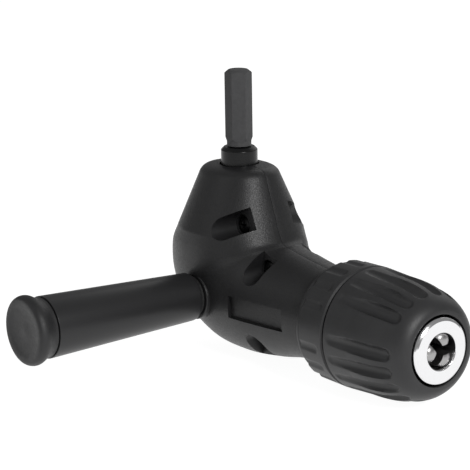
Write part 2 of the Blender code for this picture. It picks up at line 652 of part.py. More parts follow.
flange_front = CHUCK_SEAM + FACE_GAP
thrust_start = flange_front + FACE_GAP
thrust_end = thrust_start + THRUST_THICKNESS
groove_end = JAW_NUT_START + JAW_NUT_LENGTH + FACE_GAP
seat_radius = jaw_reach(flange_front) + FACE_GAP
lip_start = SLEEVE_FRONT - SLEEVE_LIP
lip_radius = NOSE_RING_RADIUS + NOSE_GAP
jaw_nut_radius = jaw_reach(JAW_NUT_START) + FACE_GAP + JAW_NUT_WALL
band_radius = jaw_nut_radius + FIT + BAND_THICKNESS
chuck_radius = band_radius + FIT + SLEEVE_WALL
flange_radius = chuck_radius - COLLAR_WALL - FIT
body = turned("chuck_body", [
    (NOSE_HOLE_RADIUS + NOSE_CHAMFER, CHUCK_NOSE), (NOSE_RING_RADIUS - NOSE_CHAMFER, CHUCK_NOSE),
    (NOSE_RING_RADIUS, CHUCK_NOSE - NOSE_CHAMFER), (NOSE_RING_RADIUS, lip_start - FACE_GAP),
    (BODY_FRONT_RADIUS, lip_start - BODY_FRONT_RADIUS + NOSE_RING_RADIUS),
    (BODY_FRONT_RADIUS, groove_end), (BODY_GROOVE_RADIUS, groove_end), (BODY_GROOVE_RADIUS, thrust_end),
    (seat_radius, thrust_end), (seat_radius, flange_front), (flange_radius, flange_front),
    (flange_radius, BODY_REAR),
    (CHUCK_THREAD_RADIUS + FIT, BODY_REAR), (CHUCK_THREAD_RADIUS + FIT, BODY_FLOOR),
    (LOCK_SCREW_RADIUS + FIT, BODY_FLOOR), (LOCK_SCREW_RADIUS + FIT, BODY_FLOOR + BODY_FLOOR_THICKNESS),
    (NOSE_HOLE_RADIUS, BODY_FLOOR + BODY_FLOOR_THICKNESS), (NOSE_HOLE_RADIUS, CHUCK_NOSE - NOSE_CHAMFER),
], ALONG_X, CHROME, MEDIUM_STEPS)
for number in range(JAW_COUNT):
    bore_start = (JAW_BORE_REAR - jaw_apex) / math.cos(JAW_ANGLE)
    bore_end = (CHUCK_NOSE - jaw_apex) / math.cos(JAW_ANGLE) + OVERCUT
    bore = rod("jaw_bore_%d" % (number + 1), JAW_RADIUS + FIT, bore_start, bore_end, ALONG_Z, None,
               SMALL_STEPS, 0, cutters)
    bore.location = (jaw_apex, 0, 0)
    bore.rotation_euler = jaw_frame(number).to_euler()
    boolean(body, bore, "DIFFERENCE")

lock_head = BODY_FLOOR + BODY_FLOOR_THICKNESS + FACE_GAP
turned("chuck_screw", [
    (0, lock_head + LOCK_HEAD_HEIGHT), (LOCK_HEAD_RADIUS - 0.0005, lock_head + LOCK_HEAD_HEIGHT),
    (LOCK_HEAD_RADIUS, lock_head + LOCK_HEAD_HEIGHT - 0.0005), (LOCK_HEAD_RADIUS, lock_head),
    (LOCK_SCREW_RADIUS, lock_head), (LOCK_SCREW_RADIUS, SPINDLE_END - LOCK_SCREW_LENGTH + FACE_GAP),
    (0, SPINDLE_END - LOCK_SCREW_LENGTH + FACE_GAP),
], ALONG_X, BLACKED_STEEL, SMALL_STEPS)
ring("chuck_thrust_ring", seat_radius + FIT, band_radius, thrust_start, thrust_end, ALONG_X, BRIGHT_STEEL)
nut_end = JAW_NUT_START + JAW_NUT_LENGTH
turned("jaw_nut", [
    (jaw_reach(nut_end) + FACE_GAP, nut_end), (jaw_nut_radius, nut_end), (jaw_nut_radius, JAW_NUT_START),
    (jaw_reach(JAW_NUT_START) + FACE_GAP, JAW_NUT_START),
], ALONG_X, GEAR_STEEL)
ring("jaw_nut_band", jaw_nut_radius + FIT, band_radius, JAW_NUT_START, nut_end, ALONG_X, BRIGHT_STEEL)


nose_curve_length = (SLEEVE_FRONT - NOSE_CURVE_START) / NOSE_CURVE_SHARE


def sleeve_radius(x):
    """The sleeve's outside: a slight taper, then most of a quarter of an ellipse down to the nose."""
    if x < NOSE_CURVE_START:
        return chuck_radius - (x - CHUCK_SEAM) * SLEEVE_TAPER
    shoulder = chuck_radius - (NOSE_CURVE_START - CHUCK_SEAM) * SLEEVE_TAPER
    drop = shoulder - lip_radius - NOSE_LIP_WALL
    share = (x - NOSE_CURVE_START) / nose_curve_length
    return shoulder - drop * (1 - math.sqrt(1 - share ** 2)) / (1 - math.sqrt(1 - NOSE_CURVE_SHARE ** 2))


def flutes(name, phase, start, end, start_depth, end_depth, surface):
    """Round-ended grooves in groups, each missing one from the even spacing."""
    made = []
    for number in range(FLUTE_POSITIONS):
        if number % FLUTE_GROUP == 0:
            continue
        angle = phase + 2 * math.pi * number / FLUTE_POSITIONS
        first = Vector((start, 0, 0)) + Vector((0, 1, 0)) * (surface(start) - start_depth + FLUTE_RADIUS)
        last = Vector((end, 0, 0)) + Vector((0, 1, 0)) * (surface(end) - end_depth + FLUTE_RADIUS)
        way = (last - first).normalized()
        length = (last - first).length
        cap = [(FLUTE_RADIUS * math.sin(turn), FLUTE_RADIUS * math.cos(turn))
               for turn in np.radians((0, 50, 90))]
        profile = [(r, length + h) for r, h in cap] + [(r, -h) for r, h in reversed(cap)]
        cutter = turned("%s_%d" % (name, number), profile, ALONG_Z, None, FLUTE_STEPS, cutters)
        aim = Matrix.Rotation(angle, 3, "X")
        cutter.location = aim @ first
        cutter.rotation_euler = (aim @ way).to_track_quat("Z", "Y").to_euler()
        made.append(cutter)
    return made


nose_points = [NOSE_CURVE_START + nose_curve_length * math.sin(turn)
               for turn in np.linspace(0, math.asin(NOSE_CURVE_SHARE), NOSE_STEPS)]
sleeve_start = CHUCK_SEAM + SEAM_WIDTH
sleeve = turned("chuck_sleeve", [(lip_radius, SLEEVE_FRONT)]
                + [(sleeve_radius(x), x) for x in reversed(nose_points)]
                + [(sleeve_radius(sleeve_start + SEAM_WIDTH), sleeve_start + SEAM_WIDTH),
                   (chuck_radius - SEAM_WIDTH, sleeve_start), (band_radius + FIT, sleeve_start),
                   (band_radius + FIT, groove_end), (BODY_FRONT_RADIUS + SLEEVE_PLAY, groove_end),
                   (BODY_FRONT_RADIUS + SLEEVE_PLAY, lip_start - BODY_FRONT_RADIUS + NOSE_RING_RADIUS),
                   (lip_radius, lip_start + NOSE_GAP)], ALONG_X, BLACK_PLASTIC, FINE_STEPS)
for cutter in flutes("flute", FLUTE_PHASE, FLUTE_START, FLUTE_END, FLUTE_START_DEPTH, FLUTE_END_DEPTH,
                     sleeve_radius):
    boolean(sleeve, cutter, "DIFFERENCE")

rear_wall = BODY_REAR - FACE_GAP
collar = turned("chuck_collar", [
    (flange_radius + FIT, CHUCK_SEAM), (chuck_radius - SEAM_WIDTH, CHUCK_SEAM),
    (chuck_radius, CHUCK_SEAM - SEAM_WIDTH), (chuck_radius - 0.0002, CHUCK_REAR + CHUCK_REAR_CHAMFER * 1.4),
    (chuck_radius - 0.0010, CHUCK_REAR + CHUCK_REAR_CHAMFER * 0.6),
    (chuck_radius - CHUCK_REAR_SLOPE, CHUCK_REAR),
    (COLLAR_HOLE_RADIUS, CHUCK_REAR), (COLLAR_HOLE_RADIUS, rear_wall), (flange_radius + FIT, rear_wall),
], ALONG_X, BLACK_PLASTIC, FINE_STEPS)
for cutter in flutes("collar_flute", COLLAR_FLUTE_PHASE, CHUCK_REAR - FLUTE_RADIUS, COLLAR_FLUTE_END,
                     COLLAR_FLUTE_DEPTH, COLLAR_FLUTE_DEPTH, lambda x: chuck_radius):
    boolean(collar, cutter, "DIFFERENCE")


def jaw(number):
    """A round steel pin in an inclined bore, ground to a ridge that lies along the chuck's axis."""
    length = JAW_LENGTH / math.cos(JAW_ANGLE)
    dome = [(JAW_RADIUS * math.sin(turn), JAW_DOME * (math.cos(turn) - 1))
            for turn in np.radians((0, 30, 60, 90))]
    shape = bmesh.new()
    loops = []
    for radius, height in dome[1:] + [(JAW_RADIUS, -length)]:
        angles = np.linspace(0, 2 * math.pi, SMALL_STEPS, endpoint=False)
        heights = np.full(SMALL_STEPS, height)
        loops.append(np.stack([radius * np.cos(angles), radius * np.sin(angles), heights], 1))
    add_grid(shape, np.array(loops), closed=False)
    outwards = Vector((math.cos(JAW_ANGLE), 0, -math.sin(JAW_ANGLE)))
    ridge = Vector((0, 0, (jaw_apex - JAW_TIP) / math.cos(JAW_ANGLE))) + outwards * JAW_OPENING
    for side in (-1, 1):
        face = math.radians(60)
        normal = Vector((0, side, 0)) * math.cos(face) - outwards * math.sin(face)
        everything = shape.verts[:] + shape.edges[:] + shape.faces[:]
        cut = bmesh.ops.bisect_plane(shape, geom=everything, dist=MERGE / 10, plane_co=ridge,
                                     plane_no=normal, clear_outer=True)
        rim = [edge for edge in cut["geom_cut"] if isinstance(edge, bmesh.types.BMEdge)]
        bmesh.ops.contextual_create(shape, geom=rim)
    made = mesh_object("jaw_%d" % (number + 1), shape, BRIGHT_STEEL, parts)
    frame = jaw_frame(number)
    slide = frame @ Vector((0, 0, 1))
    made.location = Vector((jaw_apex, 0, 0)) - slide * (jaw_apex - JAW_TIP) / math.cos(JAW_ANGLE)
    made.rotation_euler = frame.to_euler()


for number in range(JAW_COUNT):
    jaw(number)

# Side handle: a grip with a steel stud, screwed into the nut in the left half
washer_face = HANDLE_PAD_FACE + FACE_GAP
ring("handle_washer", STUD_RADIUS + FIT, WASHER_RADIUS, washer_face, washer_face + WASHER_THICKNESS,
     ALONG_HANDLE, BLACKED_STEEL)
nut_corner = NUT_FLATS / math.sqrt(3)
nut = ring("handle_nut", STUD_RADIUS + FIT, nut_corner, NUT_INNER_FACE, NUT_INNER_FACE + NUT_THICKNESS,
           ALONG_HANDLE, BRIGHT_STEEL, MEDIUM_STEPS, 0.0005)
boolean(nut, ring("nut_flats_cutter", nut_corner, 2 * nut_corner, NUT_INNER_FACE - OVERCUT,
                  NUT_INNER_FACE + NUT_THICKNESS + OVERCUT, ALONG_HANDLE, None, 6, 0, cutters), "DIFFERENCE")
grip_root = washer_face + WASHER_THICKNESS + FACE_GAP
rod("handle_stud", STUD_RADIUS, STUD_INNER_END, STUD_OUTER_END, ALONG_HANDLE, BRIGHT_STEEL, MEDIUM_STEPS,
    0.0006)
grip_end = grip_root + GRIP_LENGTH
turned("handle_grip", [
    (GRIP_HOLLOW_RADIUS, grip_end), (GRIP_END_RADIUS - 0.0002, grip_end),
    (GRIP_END_RADIUS, grip_end - 0.0002), (GRIP_ROOT_RADIUS, grip_root + 0.0010),
    (GRIP_ROOT_RADIUS - 0.0006, grip_root), (STUD_RADIUS + FIT, grip_root),
    (STUD_RADIUS + FIT, grip_root + GRIP_WEB_LENGTH), (GRIP_HOLLOW_RADIUS, grip_root + GRIP_WEB_LENGTH),
], ALONG_HANDLE, HANDLE_PLASTIC, GRIP_STEPS)
cap_start = grip_end + FACE_GAP
cap_end = cap_start + CAP_LENGTH
turned("handle_cap", [
    (0, cap_end - CAP_DISH * 0.75), (0.0012, cap_end - CAP_DISH * 0.85),
    (CAP_BEAD_RADIUS * 0.40, cap_end - CAP_DISH),
    (CAP_BEAD_RADIUS * 0.62, cap_end - CAP_DISH * 0.5), (CAP_BEAD_RADIUS * 0.80, cap_end),
    (CAP_BEAD_RADIUS * 0.93, cap_end - 0.0005), (CAP_BEAD_RADIUS, cap_end - 0.0020),
    (CAP_BEAD_RADIUS - 0.0003, cap_end - 0.0032), (CAP_NECK_RADIUS, cap_start + 0.0014),
    (CAP_NECK_RADIUS, cap_start), (GRIP_HOLLOW_RADIUS - FIT, cap_start),
    (GRIP_HOLLOW_RADIUS - FIT, cap_start - CAP_PLUG_LENGTH), (0, cap_start - CAP_PLUG_LENGTH),
], ALONG_HANDLE, BLACK_RUBBER, GRIP_STEPS)
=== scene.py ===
"""Right angle drill adapter: its looks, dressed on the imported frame. Lengths are in metres."""
import math

import bmesh
import bpy
import numpy as np
from mathutils import Matrix, Vector


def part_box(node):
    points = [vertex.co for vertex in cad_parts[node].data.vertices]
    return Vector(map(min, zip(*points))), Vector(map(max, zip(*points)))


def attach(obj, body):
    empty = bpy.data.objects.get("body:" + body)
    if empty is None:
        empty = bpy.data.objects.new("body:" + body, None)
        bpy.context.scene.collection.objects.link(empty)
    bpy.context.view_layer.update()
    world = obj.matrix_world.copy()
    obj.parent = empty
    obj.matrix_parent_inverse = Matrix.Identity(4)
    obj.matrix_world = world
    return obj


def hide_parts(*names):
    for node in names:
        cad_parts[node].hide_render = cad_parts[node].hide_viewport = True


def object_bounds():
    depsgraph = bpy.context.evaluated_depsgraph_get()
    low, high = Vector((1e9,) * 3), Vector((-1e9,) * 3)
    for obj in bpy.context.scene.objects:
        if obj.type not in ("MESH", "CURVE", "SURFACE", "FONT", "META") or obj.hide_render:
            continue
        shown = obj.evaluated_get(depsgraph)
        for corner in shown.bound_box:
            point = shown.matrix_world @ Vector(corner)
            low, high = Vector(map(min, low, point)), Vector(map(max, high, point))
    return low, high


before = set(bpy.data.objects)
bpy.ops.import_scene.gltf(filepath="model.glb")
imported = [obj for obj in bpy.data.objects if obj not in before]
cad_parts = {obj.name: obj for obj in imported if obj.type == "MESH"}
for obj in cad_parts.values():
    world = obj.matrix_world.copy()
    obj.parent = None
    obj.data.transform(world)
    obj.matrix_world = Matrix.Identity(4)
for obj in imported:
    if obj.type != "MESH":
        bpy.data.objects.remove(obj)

cad_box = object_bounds()

# Camera and studio. The camera was fitted to the photograph's outlines: a long lens a little above
# the chuck's nose. White sweep paper is the floor and the background, and the light is a soft box
# high in front of the chuck, weak ones on the left and behind, and a dim white room.
shaft_low, shaft_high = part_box("output_spindle")
GEAR_CENTRE = Vector((0, 0, (shaft_low.z + shaft_high.z) / 2))
FRAME_PIXELS = 470
SENSOR_MM = 36.0
FOCAL_PIXELS = 2122.86
VIEW_TURN = math.radians(36.75)
VIEW_RISE = math.radians(13.8)
VIEW_ROLL = math.radians(-0.92)
VIEW_DISTANCE = 0.72251
VIEW_RIGHT = -0.00216
VIEW_UP = 0.01715

view = Vector((math.cos(VIEW_TURN) * math.cos(VIEW_RISE), -math.sin(VIEW_TURN) * math.cos(VIEW_RISE),
               math.sin(VIEW_RISE)))
level = Vector((math.sin(VIEW_TURN), math.cos(VIEW_TURN), 0))
rise = view.cross(level)
right = math.cos(VIEW_ROLL) * level + math.sin(VIEW_ROLL) * rise
up = math.cos(VIEW_ROLL) * rise - math.sin(VIEW_ROLL) * level
camera_data = bpy.data.cameras.new("camera")
camera_data.sensor_width = SENSOR_MM
camera_data.lens = FOCAL_PIXELS / FRAME_PIXELS * SENSOR_MM
camera_data.clip_start = 0.01
camera = bpy.data.objects.new("camera", camera_data)
bpy.context.scene.collection.objects.link(camera)
turn = Matrix((right, up, view)).transposed().to_4x4()
camera.matrix_world = Matrix.Translation(GEAR_CENTRE + view * VIEW_DISTANCE + right * VIEW_RIGHT
                                         + up * VIEW_UP) @ turn
bpy.context.scene.camera = camera
bpy.context.scene.view_settings.view_transform = "Standard"


def srgb(code):
    """An sRGB hex colour as linear RGBA: a channel up to 0.04045 is divided by 12.92, and above that it
    is ((channel + 0.055) / 1.055) to the power 2.4."""
    channels = [int(code[i:i + 2], 16) / 255 for i in (1, 3, 5)]
    return tuple(c / 12.92 if c <= 0.04045 else ((c + 0.055) / 1.055) ** 2.4 for c in channels) + (1.0,)


def add_node(tree, kind, settings=(), links=()):
    """Adds a node. Settings name its properties or sockets, and links give each socket its source."""
    node = tree.nodes.new(kind)
    for name, value in dict(settings).items():
        if isinstance(name, int) or name in node.inputs.keys():
            node.inputs[name].default_value = value
        else:
            setattr(node, name, value)
    for name, source in dict(links).items():
        tree.links.new(source, node.inputs[name])
    return node


def area_light(name, place, aim, size, power):
    """A square soft box that looks at a point."""
    lamp = bpy.data.lights.new(name, "AREA")
    lamp.size = size
    lamp.energy = power
    obj = bpy.data.objects.new(name, lamp)
    bpy.context.scene.collection.objects.link(obj)
    obj.location = place
    obj.rotation_euler = (Vector(aim) - Vector(place)).to_track_quat("-Z", "Y").to_euler()


# Name, way from the gear centre, distance, side length, watts
SOFT_BOXES = (
    ("key_box", (0.858, -0.121, 0.500), 0.95, 0.25, 4.2),
    ("left_box", (-0.25, -0.85, 0.60), 0.90, 0.55, 0.5),
    ("back_box", (-0.30, 0.80, 0.55), 0.90, 0.70, 1.0),
)
ROOM_STRENGTH = 0.26
PAPER_GLOW = 0.95
for name, way, distance, size, power in SOFT_BOXES:
    area_light(name, GEAR_CENTRE + Vector(way).normalized() * distance, GEAR_CENTRE, size, power)

world = bpy.data.worlds.new("studio")
bpy.context.scene.world = world
world.use_nodes = True
tree = world.node_tree
tree.nodes.clear()
path = add_node(tree, "ShaderNodeLightPath")
room = add_node(tree, "ShaderNodeBackground", {"Color": srgb("#ffffff"), "Strength": ROOM_STRENGTH})
paper = add_node(tree, "ShaderNodeBackground", {"Color": srgb("#ffffff"), "Strength": 1.0})
seen = add_node(tree, "ShaderNodeMixShader", {}, {0: path.outputs["Is Camera Ray"], 1: room.outputs[0],
                                                  2: paper.outputs[0]})
add_node(tree, "ShaderNodeOutputWorld", {}, {"Surface": seen.outputs[0]})

FLOOR_REACH = 4.0
FLOOR_CLEARANCE = 0.0004
floor_mesh = bpy.data.meshes.new("floor")
floor_z = cad_box[0][2] - FLOOR_CLEARANCE
floor_corners = [(x * FLOOR_REACH, y * FLOOR_REACH, floor_z) for x, y in ((-1, -1), (1, -1), (1, 1), (-1, 1))]
floor_mesh.from_pydata(floor_corners, [], [(0, 1, 2, 3)])
floor = bpy.data.objects.new("floor", floor_mesh)
bpy.context.scene.collection.objects.link(floor)
sweep_paper = bpy.data.materials.new("white_sweep_paper")
sweep_paper.use_nodes = True
tree = sweep_paper.node_tree
tree.nodes.clear()
# Paper seen by the camera or in a reflection glows to just under white and takes the rest from the
# lamps, so it shows as pure white with only a faint shadow.
path = add_node(tree, "ShaderNodeLightPath")
looked_at = add_node(tree, "ShaderNodeMath", {"operation": "MAXIMUM"},
                     {0: path.outputs["Is Camera Ray"], 1: path.outputs["Is Glossy Ray"]})
looked_at = add_node(tree, "ShaderNodeMath", {"operation": "MAXIMUM"},
                     {0: looked_at.outputs[0], 1: path.outputs["Is Transmission Ray"]})
matt = add_node(tree, "ShaderNodeBsdfDiffuse", {"Color": srgb("#e8e8e8")})
thin = add_node(tree, "ShaderNodeBsdfDiffuse", {"Color": srgb("#8c8c8c")})
glow = add_node(tree, "ShaderNodeEmission", {"Color": srgb("#ffffff"), "Strength": PAPER_GLOW})
lit = add_node(tree, "ShaderNodeAddShader", {}, {0: thin.outputs[0], 1: glow.outputs[0]})
seen = add_node(tree, "ShaderNodeMixShader", {}, {0: looked_at.outputs[0], 1: matt.outputs[0],
                                                  2: lit.outputs[0]})
add_node(tree, "ShaderNodeOutputMaterial", {}, {"Surface": seen.outputs[0]})
floor_mesh.materials.append(sweep_paper)

# Drive shank. One turned bar of free-cutting steel: the top is milled to an 8 mm hexagon with a lead
# chamfer, and a round collar below it runs in the housing's seal. The bar is phosphated to an even
# dark grey; the collar is ground and oil-blacked, so its chamfer shines.
HEX_FLATS = 0.0080
HEX_TURN = -VIEW_TURN
HEX_BLUNTING = 0.00004
HEX_TOP_CHAMFER = 0.0014
HEX_BOTTOM = 0.0503
HEX_RUN_OUT = 0.0014
HEX_ROWS_PER_POINT = 6
NECK_RADIUS = 0.0041
COLLAR_TOP = 0.0484
COLLAR_CHAMFER = 0.0010
SHANK_COLUMNS = 192
SHAFT_SHOULDER = 0.0363
SHAFT_RADIUS = 0.00585
GEAR_SEAT_TOP = 0.0208
GEAR_SEAT_RADIUS = 0.0045
ON_AXIS = 1e-5
WELD_DISTANCE = 1e-7

shank_low, shank_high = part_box("drive_shank")
COLLAR_RADIUS = (shank_high.x - shank_low.x) / 2
# Each axis: its way, then the two side ways that angles are counted from
AXES = {
    "shank": (Vector((0, 0, 1)), Vector((1, 0, 0)), Vector((0, 1, 0))),
    "spindle": (Vector((1, 0, 0)), Vector((0, 1, 0)), Vector((0, 0, 1))),
    "handle": (Vector((0, -1, 0)), Vector((1, 0, 0)), Vector((0, 0, 1))),
}


def rounded(corners, steps=5):
    """A profile whose corners are eased: each (along, radius, easing) corner becomes a parabola that is
    tangent to both its sides and starts the easing length away, or less where a side is short."""
    points = np.array([corner[:2] for corner in corners], float)
    sizes = [corner[2] if len(corner) > 2 else 0 for corner in corners]
    made = []
    for i, (point, size) in enumerate(zip(points, sizes)):
        if size == 0:
            made.append(point)
            continue
        before, after = points[i - 1] - point, points[(i + 1) % len(points)] - point
        start = point + before * min(size / np.linalg.norm(before), 0.49)
        end = point + after * min(size / np.linalg.norm(after), 0.49)
        share = np.linspace(0, 1, steps)[:, None]
        made.extend((1 - share) ** 2 * start + 2 * share * (1 - share) * point + share ** 2 * end)
    return np.array(made)


def skin(name, rows, ring=False, material=None, sharp=40):
    """A closed surface over a grid of points: each row runs round, and the rows follow each other.

    With ring the last row joins the first. Otherwise each end is closed by a fan about its middle.
    """
    rows = np.asarray(rows, float)
    count, around = rows.shape[:2]
    index = np.arange(count * around).reshape(count, around)
    here = index if ring else index[:-1]
    after = np.roll(index, -1, 0) if ring else index[1:]
    faces = np.stack([here, np.roll(here, -1, 1), np.roll(after, -1, 1), after], -1)
    faces = faces.reshape(-1, 4).tolist()
    points = rows.reshape(-1, 3)
    if not ring:
        for row, flip in ((0, -1), (count - 1, 1)):
            middle = len(points)
            points = np.vstack([points, rows[row].mean(0)])
            fan = np.stack([index[row], np.roll(index[row], -1), np.full(around, middle)], -1)
            faces += fan[:, ::flip].tolist()
    mesh = bpy.data.meshes.new(name)
    mesh.from_pydata(points.tolist(), [], faces)
    shape = bmesh.new()
    shape.from_mesh(mesh)
    bmesh.ops.remove_doubles(shape, verts=shape.verts, dist=WELD_DISTANCE)
    bmesh.ops.recalc_face_normals(shape, faces=shape.faces)
    shape.to_mesh(mesh)
    shape.free()
    mesh.shade_smooth()
    mesh.set_sharp_from_angle(angle=math.radians(sharp))
    obj = bpy.data.objects.new(name, mesh)
    bpy.context.scene.collection.objects.link(obj)
    if material:
        mesh.materials.append(material)
    return obj


def spun(profile, axis, columns, radius_at=None, centre=GEAR_CENTRE):
    """Rows of points turned about an axis through a centre, by default the gears': the place along it,
    plus the radius times (first way x cosine + second way x sine) of the angle. radius_at may change
    the radius by place and angle."""
    along_way, first, second = (np.array(way) for way in AXES[axis])
    angles = np.linspace(0, 2 * math.pi, columns, endpoint=False)
    along = profile[:, 0][:, None]
    radius = np.broadcast_to(profile[:, 1][:, None], (len(profile), columns))
    if radius_at:
        radius = radius_at(along, radius, angles[None, :])
    circle = np.cos(angles)[None, :, None] * first + np.sin(angles)[None, :, None] * second
    return np.array(centre) + along[..., None] * along_way + radius[..., None] * circle


def noise(tree, size, detail=2.0, roughness=0.5):
    """Noise in object space whose features are about this size."""
    coordinates = add_node(tree, "ShaderNodeTexCoord")
    return add_node(tree, "ShaderNodeTexNoise", {"Scale": 1 / size, "Detail": detail, "Roughness": roughness},
                    {"Vector": coordinates.outputs["Object"]})


def turning_marks(tree, scale):
    """Noise stretched round an axis: scale counts its features in a metre along X, Y and Z."""
    coordinates = add_node(tree, "ShaderNodeTexCoord")
    stretch = add_node(tree, "ShaderNodeMapping", {"Scale": scale}, {"Vector": coordinates.outputs["Object"]})
    return add_node(tree, "ShaderNodeTexNoise", {"Scale": 1.0, "Detail": 2.0}, {"Vector": stretch.outputs[0]})


def spread(tree, source, low, high):
    """Maps a noise's usual range of 0.3 to 0.7 onto low to high."""
    return add_node(tree, "ShaderNodeMapRange",
                    {"From Min": 0.3, "From Max": 0.7, "To Min": low, "To Max": high},
                    {"Value": source.outputs["Fac"]}).outputs[0]


def finish(name, colour, settings, roughness, grain=None, marks=None, shades=None, cloud=None, bump=None):
    """A procedural material. Its grain, or its turning marks, moves the roughness between two values.

    The grain is (size, detail, roughness), and marks is a turning scale. The grain may blend two
    shades, or a cloud of another size does, and it may raise a bump of (strength, depth).
    """
    made = bpy.data.materials.new(name)
    made.use_nodes = True
    tree = made.node_tree
    tree.nodes.clear()
    shader = add_node(tree, "ShaderNodeBsdfPrincipled", {"Base Color": srgb(colour), **settings})
    add_node(tree, "ShaderNodeOutputMaterial", {}, {"Surface": shader.outputs[0]})
    fine = turning_marks(tree, marks) if marks else noise(tree, *grain)
    tree.links.new(spread(tree, fine, *roughness), shader.inputs["Roughness"])
    if shades:
        factor = spread(tree, noise(tree, cloud) if cloud else fine, 0, 1)
        first, second = (srgb(code) for code in shades)
        blend = add_node(tree, "ShaderNodeMix", {"data_type": "RGBA", 6: first, 7: second}, {0: factor})
        tree.links.new(blend.outputs[2], shader.inputs["Base Color"])
    if bump:
        pits = add_node(tree, "ShaderNodeBump", {"Strength": bump[0], "Distance": bump[1]},
                        {"Height": fine.outputs["Fac"]})
        tree.links.new(pits.outputs[0], shader.inputs["Normal"])
    return made


# Manganese phosphate: a matt crystalline coat, even dark grey with a slight mottle at 1.5 mm
phosphated_steel = finish("phosphated_steel", "#4c4c4d", {"Metallic": 0.1, "Specular IOR Level": 0.3},
                          (0.60, 0.74), (0.00035,), shades=("#4a4a4b", "#505051"), cloud=0.0015,
                          bump=(0.25, 0.00002))

# Oil-blacked ground steel: near black with fine turning marks round the shank
blacked_steel = finish("oil_blacked_steel", "#121213", {"Specular IOR Level": 0.28}, (0.22, 0.32),
                       marks=(150, 150, 5000))

hex_corner = HEX_FLATS / math.sqrt(3)


def hexagon_cap(along, radius, angles):
    """The smaller of the turned radius and the hexagon's: half the flats over the cosine of the angle
    from the nearest flat's middle, with the corners blunted by a slightly smaller circle."""
    from_flat = (angles - HEX_TURN + math.pi / 6) % (math.pi / 3) - math.pi / 6
    blunted = np.minimum(HEX_FLATS / 2 / np.cos(from_flat), hex_corner - HEX_BLUNTING)
    return np.where(along > HEX_BOTTOM, np.minimum(radius, blunted), radius)


top = shank_high.z - GEAR_CENTRE.z
hex_profile = rounded([
    (top, ON_AXIS), (top, hex_corner - HEX_TOP_CHAMFER, 0.0002),
    (top - HEX_TOP_CHAMFER * 0.8, hex_corner, 0.0003),
    (HEX_BOTTOM + HEX_RUN_OUT, hex_corner, 0.0002), (HEX_BOTTOM, NECK_RADIUS, 0.0002),
    (COLLAR_TOP + 0.0004, NECK_RADIUS),
])
points_at = np.arange(len(hex_profile))
rows_at = np.linspace(0, points_at[-1], HEX_ROWS_PER_POINT * len(hex_profile))
hex_profile = np.stack([np.interp(rows_at, points_at, column) for column in hex_profile.T], 1)
hexagon = skin("hexagon", spun(hex_profile, "shank", SHANK_COLUMNS, hexagon_cap), False,
               phosphated_steel, 20)
inner_end = shank_low.z - GEAR_CENTRE.z
journal = rounded([
    (COLLAR_TOP, ON_AXIS), (COLLAR_TOP, COLLAR_RADIUS - COLLAR_CHAMFER, 0.0001),
    (COLLAR_TOP - COLLAR_CHAMFER, COLLAR_RADIUS, 0.0002), (SHAFT_SHOULDER, COLLAR_RADIUS, 0.0002),
    (SHAFT_SHOULDER, SHAFT_RADIUS, 0.0001), (GEAR_SEAT_TOP, SHAFT_RADIUS, 0.0002),
    (GEAR_SEAT_TOP, GEAR_SEAT_RADIUS, 0.0001), (inner_end, GEAR_SEAT_RADIUS, 0.0005), (inner_end, ON_AXIS),
])
collar_piece = skin("shank_collar", spun(journal, "shank", SHANK_COLUMNS), False, blacked_steel, 30)
for piece in (hexagon, collar_piece):
    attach(piece, "input_shaft")
    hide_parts("drive_shank")

# Housing halves. Two clamshell mouldings in glass-filled nylon meet on the plane of the two shafts.
# The mould was spark-eroded, which leaves a fine even grain with a satin sheen. Screw pockets open
# through the skin beside the seam, and a bare sunk panel lies on the left half.
PARTING_GAP = 0.00012
WALL = 0.0022
HOOD_TOP = 0.0428
HOOD_EDGE = 0.0420
HOOD_EASING = 0.0028
HOOD_SHOULDER = 0.0400
HOOD_SHOULDER_RADIUS = 0.0144
HOOD_SHOULDER_WIDTH = 0.0123
HOOD_OPENING_RADIUS = 0.0067
NECK_END = 0.0525
NECK_OPENING_RADIUS = 0.0085
CAVITY_TOP = 0.0260
SQUARENESS = 2.1
SEAM_EASING = 0.0002
SEAM_DEPTH_SHARE = 0.6
# Front x, front z, back x, back z and half width, from the hood's shoulder to the neck's end
STATIONS = np.array((
    (HOOD_SHOULDER_RADIUS, HOOD_SHOULDER, -HOOD_SHOULDER_RADIUS, HOOD_SHOULDER, HOOD_SHOULDER_WIDTH),
    (0.0214, 0.0218, -0.0213, 0.0218, 0.0204),
    (0.0229, 0.0193, -0.0249, 0.0145, 0.0210),
    (0.0243, 0.0185, -0.0244, 0.0024, 0.0209),
    (0.0253, 0.0182, -0.0182, -0.0094, 0.0199),
    (0.0270, 0.0180, -0.0030, -0.0179, 0.0188),
    (0.0295, 0.0176, 0.0140, -0.0195, 0.0184),
    (0.0345, 0.0168, 0.0290, -0.0180, 0.0173),
    (0.0425, 0.0157, 0.0400, -0.0159, 0.0160),
    (NECK_END, 0.0145, NECK_END, -0.0145, 0.0143),
))
HOOD_ROWS = 26
ROWS_PER_SPAN = 14
COLUMNS_ROUND_HALF = 72
CAVITY_LAST_STATION = 7.65
CAVITY_ROWS = 60
# A web of solid nylon across the neck, where the output shaft's bush sits
WEB_START = 0.0240
WEB_END = 0.0310
# Place along the shaft and radius, from outside in: opening, seal, bearing and gear room
INPUT_SEAT = (
    (0.0438, ON_AXIS), (0.0438, HOOD_OPENING_RADIUS), (0.0408, HOOD_OPENING_RADIUS), (0.0408, 0.00935),
    (0.0377, 0.00935), (0.0377, 0.0080), (0.0363, 0.0080), (0.0363, 0.01065), (0.0307, 0.01065),
    (0.0307, 0.0093), (0.0250, 0.0093), (0.0250, ON_AXIS),
)
